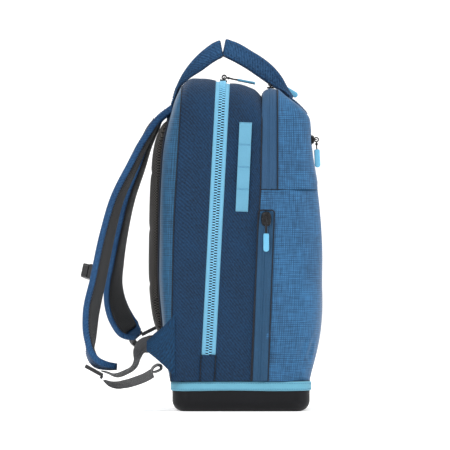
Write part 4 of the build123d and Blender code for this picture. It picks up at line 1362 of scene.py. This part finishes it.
def slider_caps():
    """Ribbed dome over the zip sliders of the side pockets and the front pocket."""
    caps = (("side_left", (37.5, -158.6, 288), (1, 0, 0), (0, 0, 1), (15, 22, 7)),
            ("side_right", (37.5, 158.6, 288), (1, 0, 0), (0, 0, 1), (15, 22, 7)),
            ("front", (106.5, -118, 407), (0, 1, 0), (0, 0, 1), (12, 13, 7)))
    for name, place, across, up, size in caps:
        across, up = np.array(across, float), np.array(up, float)
        shape = pebble(np.array(size) * MM, power=2.8, rings=14, segments=28)
        cap = copies(f"{name}_slider_cap", shape, np.array([place]) * MM, across[None], up[None],
                     np.cross(across, up)[None])
        dress(close(cap), METAL, f"{name}_slider")


def finish_cad_nodes():
    """Materials for the CAD nodes that stay."""
    finishes = {
        "base_tray": BASE, "base_board": BOARD, "frame_sheet": BOARD, "laptop_sleeve": LINING_PLACE,
        "racket_divider": LINING_PLACE, "bulkhead": LINING_PLACE, "front_pocket_bag": LINING_PLACE,
        "side_pocket_bag_left": LINING_PLACE, "side_pocket_bag_right": LINING_PLACE,
        "ladder_lock_left": BUCKLE, "ladder_lock_right": BUCKLE, "sternum_clip_left": BUCKLE,
        "sternum_clip_right": BUCKLE, "sternum_buckle_left": BUCKLE, "sternum_buckle_right": BUCKLE,
    }
    for name in ("main_left", "main_right", "compartment", "side_left", "side_right", "front"):
        finishes[f"{name}_slider"] = METAL
    for name, material in finishes.items():
        node = frame["nodes"][name]
        node.data.materials.clear()
        node.data.materials.append(material)


def lining_on_place():
    """The lining's weave on object coordinates, for the flat panels that come straight from CAD."""
    s = Shader("lining_panels", 0.8, sheen_weight=0.2)
    place = s.coordinates(cloth=False)
    _, y, z = s.split(place)
    rib = ((y + z) / (1.6 * MM)).ridge()
    quilt = ((y + z) / (60 * MM)).ridge().above(0.06, 0.03) * ((y - z) / (60 * MM)).ridge().above(0.06, 0.03)
    drift = s.noise(place, 20, 4)
    s.paint(s.mix(rib * 0.3 + drift * 0.5 + quilt * 0.2, colour(48, 54, 64), colour(98, 106, 118)))
    s.rough(drift * 0.1 + 0.75)
    s.bump(rib * 0.1 + quilt, 0.8 * MM)
    return s.material


LINING_PLACE = lining_on_place()


# ---------------------------------------------------------------- stage
def studio():
    """Pale floor that curves up into a round wall, large soft lights and the camera."""
    scene = bpy.context.scene
    turn = spread(49, 0, 2 * math.pi)
    flat, radius = 26.0, 4.0
    bend = spread(16, 0, QUARTER)
    reach = np.concatenate([[0.001, 1.0, 5.0, 14.0], flat + radius * np.sin(bend), [flat + radius]])
    height = np.concatenate([[0, 0, 0, 0], radius * (1 - np.cos(bend)), [16.0]])
    points = np.stack([
        reach[:, None] * np.cos(turn), reach[:, None] * np.sin(turn), np.repeat(height[:, None], 49, axis=1)
    ], axis=-1)
    floor = grid("studio_floor", points, inside=(0, 0, -50))
    floor.data.materials.append(plain_stage())

    def soft_box(name, place, aim, size, power):
        data = bpy.data.lights.new(name, "AREA")
        data.shape, data.size, data.energy = "DISK", size, power
        light = bpy.data.objects.new(name, data)
        light.location = place
        toward = np.array(aim) - np.array(place)
        light.rotation_euler = Vector(toward).to_track_quat("-Z", "Y").to_euler()
        bpy.context.collection.objects.link(light)

    middle = (0, 0, 0.28)
    soft_box("key_light", (-1.4, -2.6, 2.6), middle, 1.8, 62)
    soft_box("front_light", (2.8, -1.2, 1.6), middle, 1.6, 34)
    soft_box("back_light", (-1.8, 2.4, 2.4), middle, 1.8, 40)
    soft_box("top_light", (0.4, 0.2, 3.4), middle, 2.2, 36)
    world = bpy.data.worlds.new("studio_air")
    world.use_nodes = True
    world.node_tree.nodes["Background"].inputs["Color"].default_value = (1, 1, 1, 1)
    world.node_tree.nodes["Background"].inputs["Strength"].default_value = 0.72
    scene.world = world
    scene.view_settings.view_transform = "Standard"

    data = bpy.data.cameras.new("camera")
    distance, view_width, middle_depth = 12.0, 0.675, 0.11
    data.lens = data.sensor_width * (distance - middle_depth) / view_width
    camera = bpy.data.objects.new("camera", data)
    camera.location = (-24 * MM, -distance, 279 * MM)
    camera.rotation_euler = (QUARTER, 0, 0)
    bpy.context.collection.objects.link(camera)
    scene.camera = camera


studio()
finish_cad_nodes()
navy_rear()
navy_front()
zip_ends()
# the dark piping along the back and front seams also paints the seams' shadow lines
seam_cord("back_seam_piping", back_seam, NAVY_SEAM_AND_SHADE, 0.6 * MM, "bag")
seam_cord("front_seam_piping", front_seam, NAVY_SEAM_AND_SHADE, 0.2 * MM, "front_half", blended=True, radius=0.9 * MM)
main_zip("rear", -1, "bag")
main_zip("front", 1, "front_half")
front_lower()
front_upper()
compartment_zip()
front_zip()
front_seams()
for side_name, side_sign in SIDES:
    side_zip(side_name, side_sign)
    back_pad(side_name)
    wing(side_name, side_sign)
base_binding()
rim_skirt()
back_panel()
handle("rear_handle", REAR_OUTER, REAR_INNER, [(-96.5, 478), (-101, 466), (-105.5, 450), (-110, 434)],
       "rear_handle", "bag", 26 * MM, 1.8 * MM)
handle("front_handle", FRONT_OUTER, FRONT_INNER, [(72, 471), (82, 462.5), (91, 454), (98.5, 445.5)],
       "front_handle", "front_half", 26 * MM, -0.9 * MM)
strap("left", STRAP_LEFT)
strap("right", STRAP_RIGHT)
adjusters()
daisy_chain()
pulls()
slider_caps()
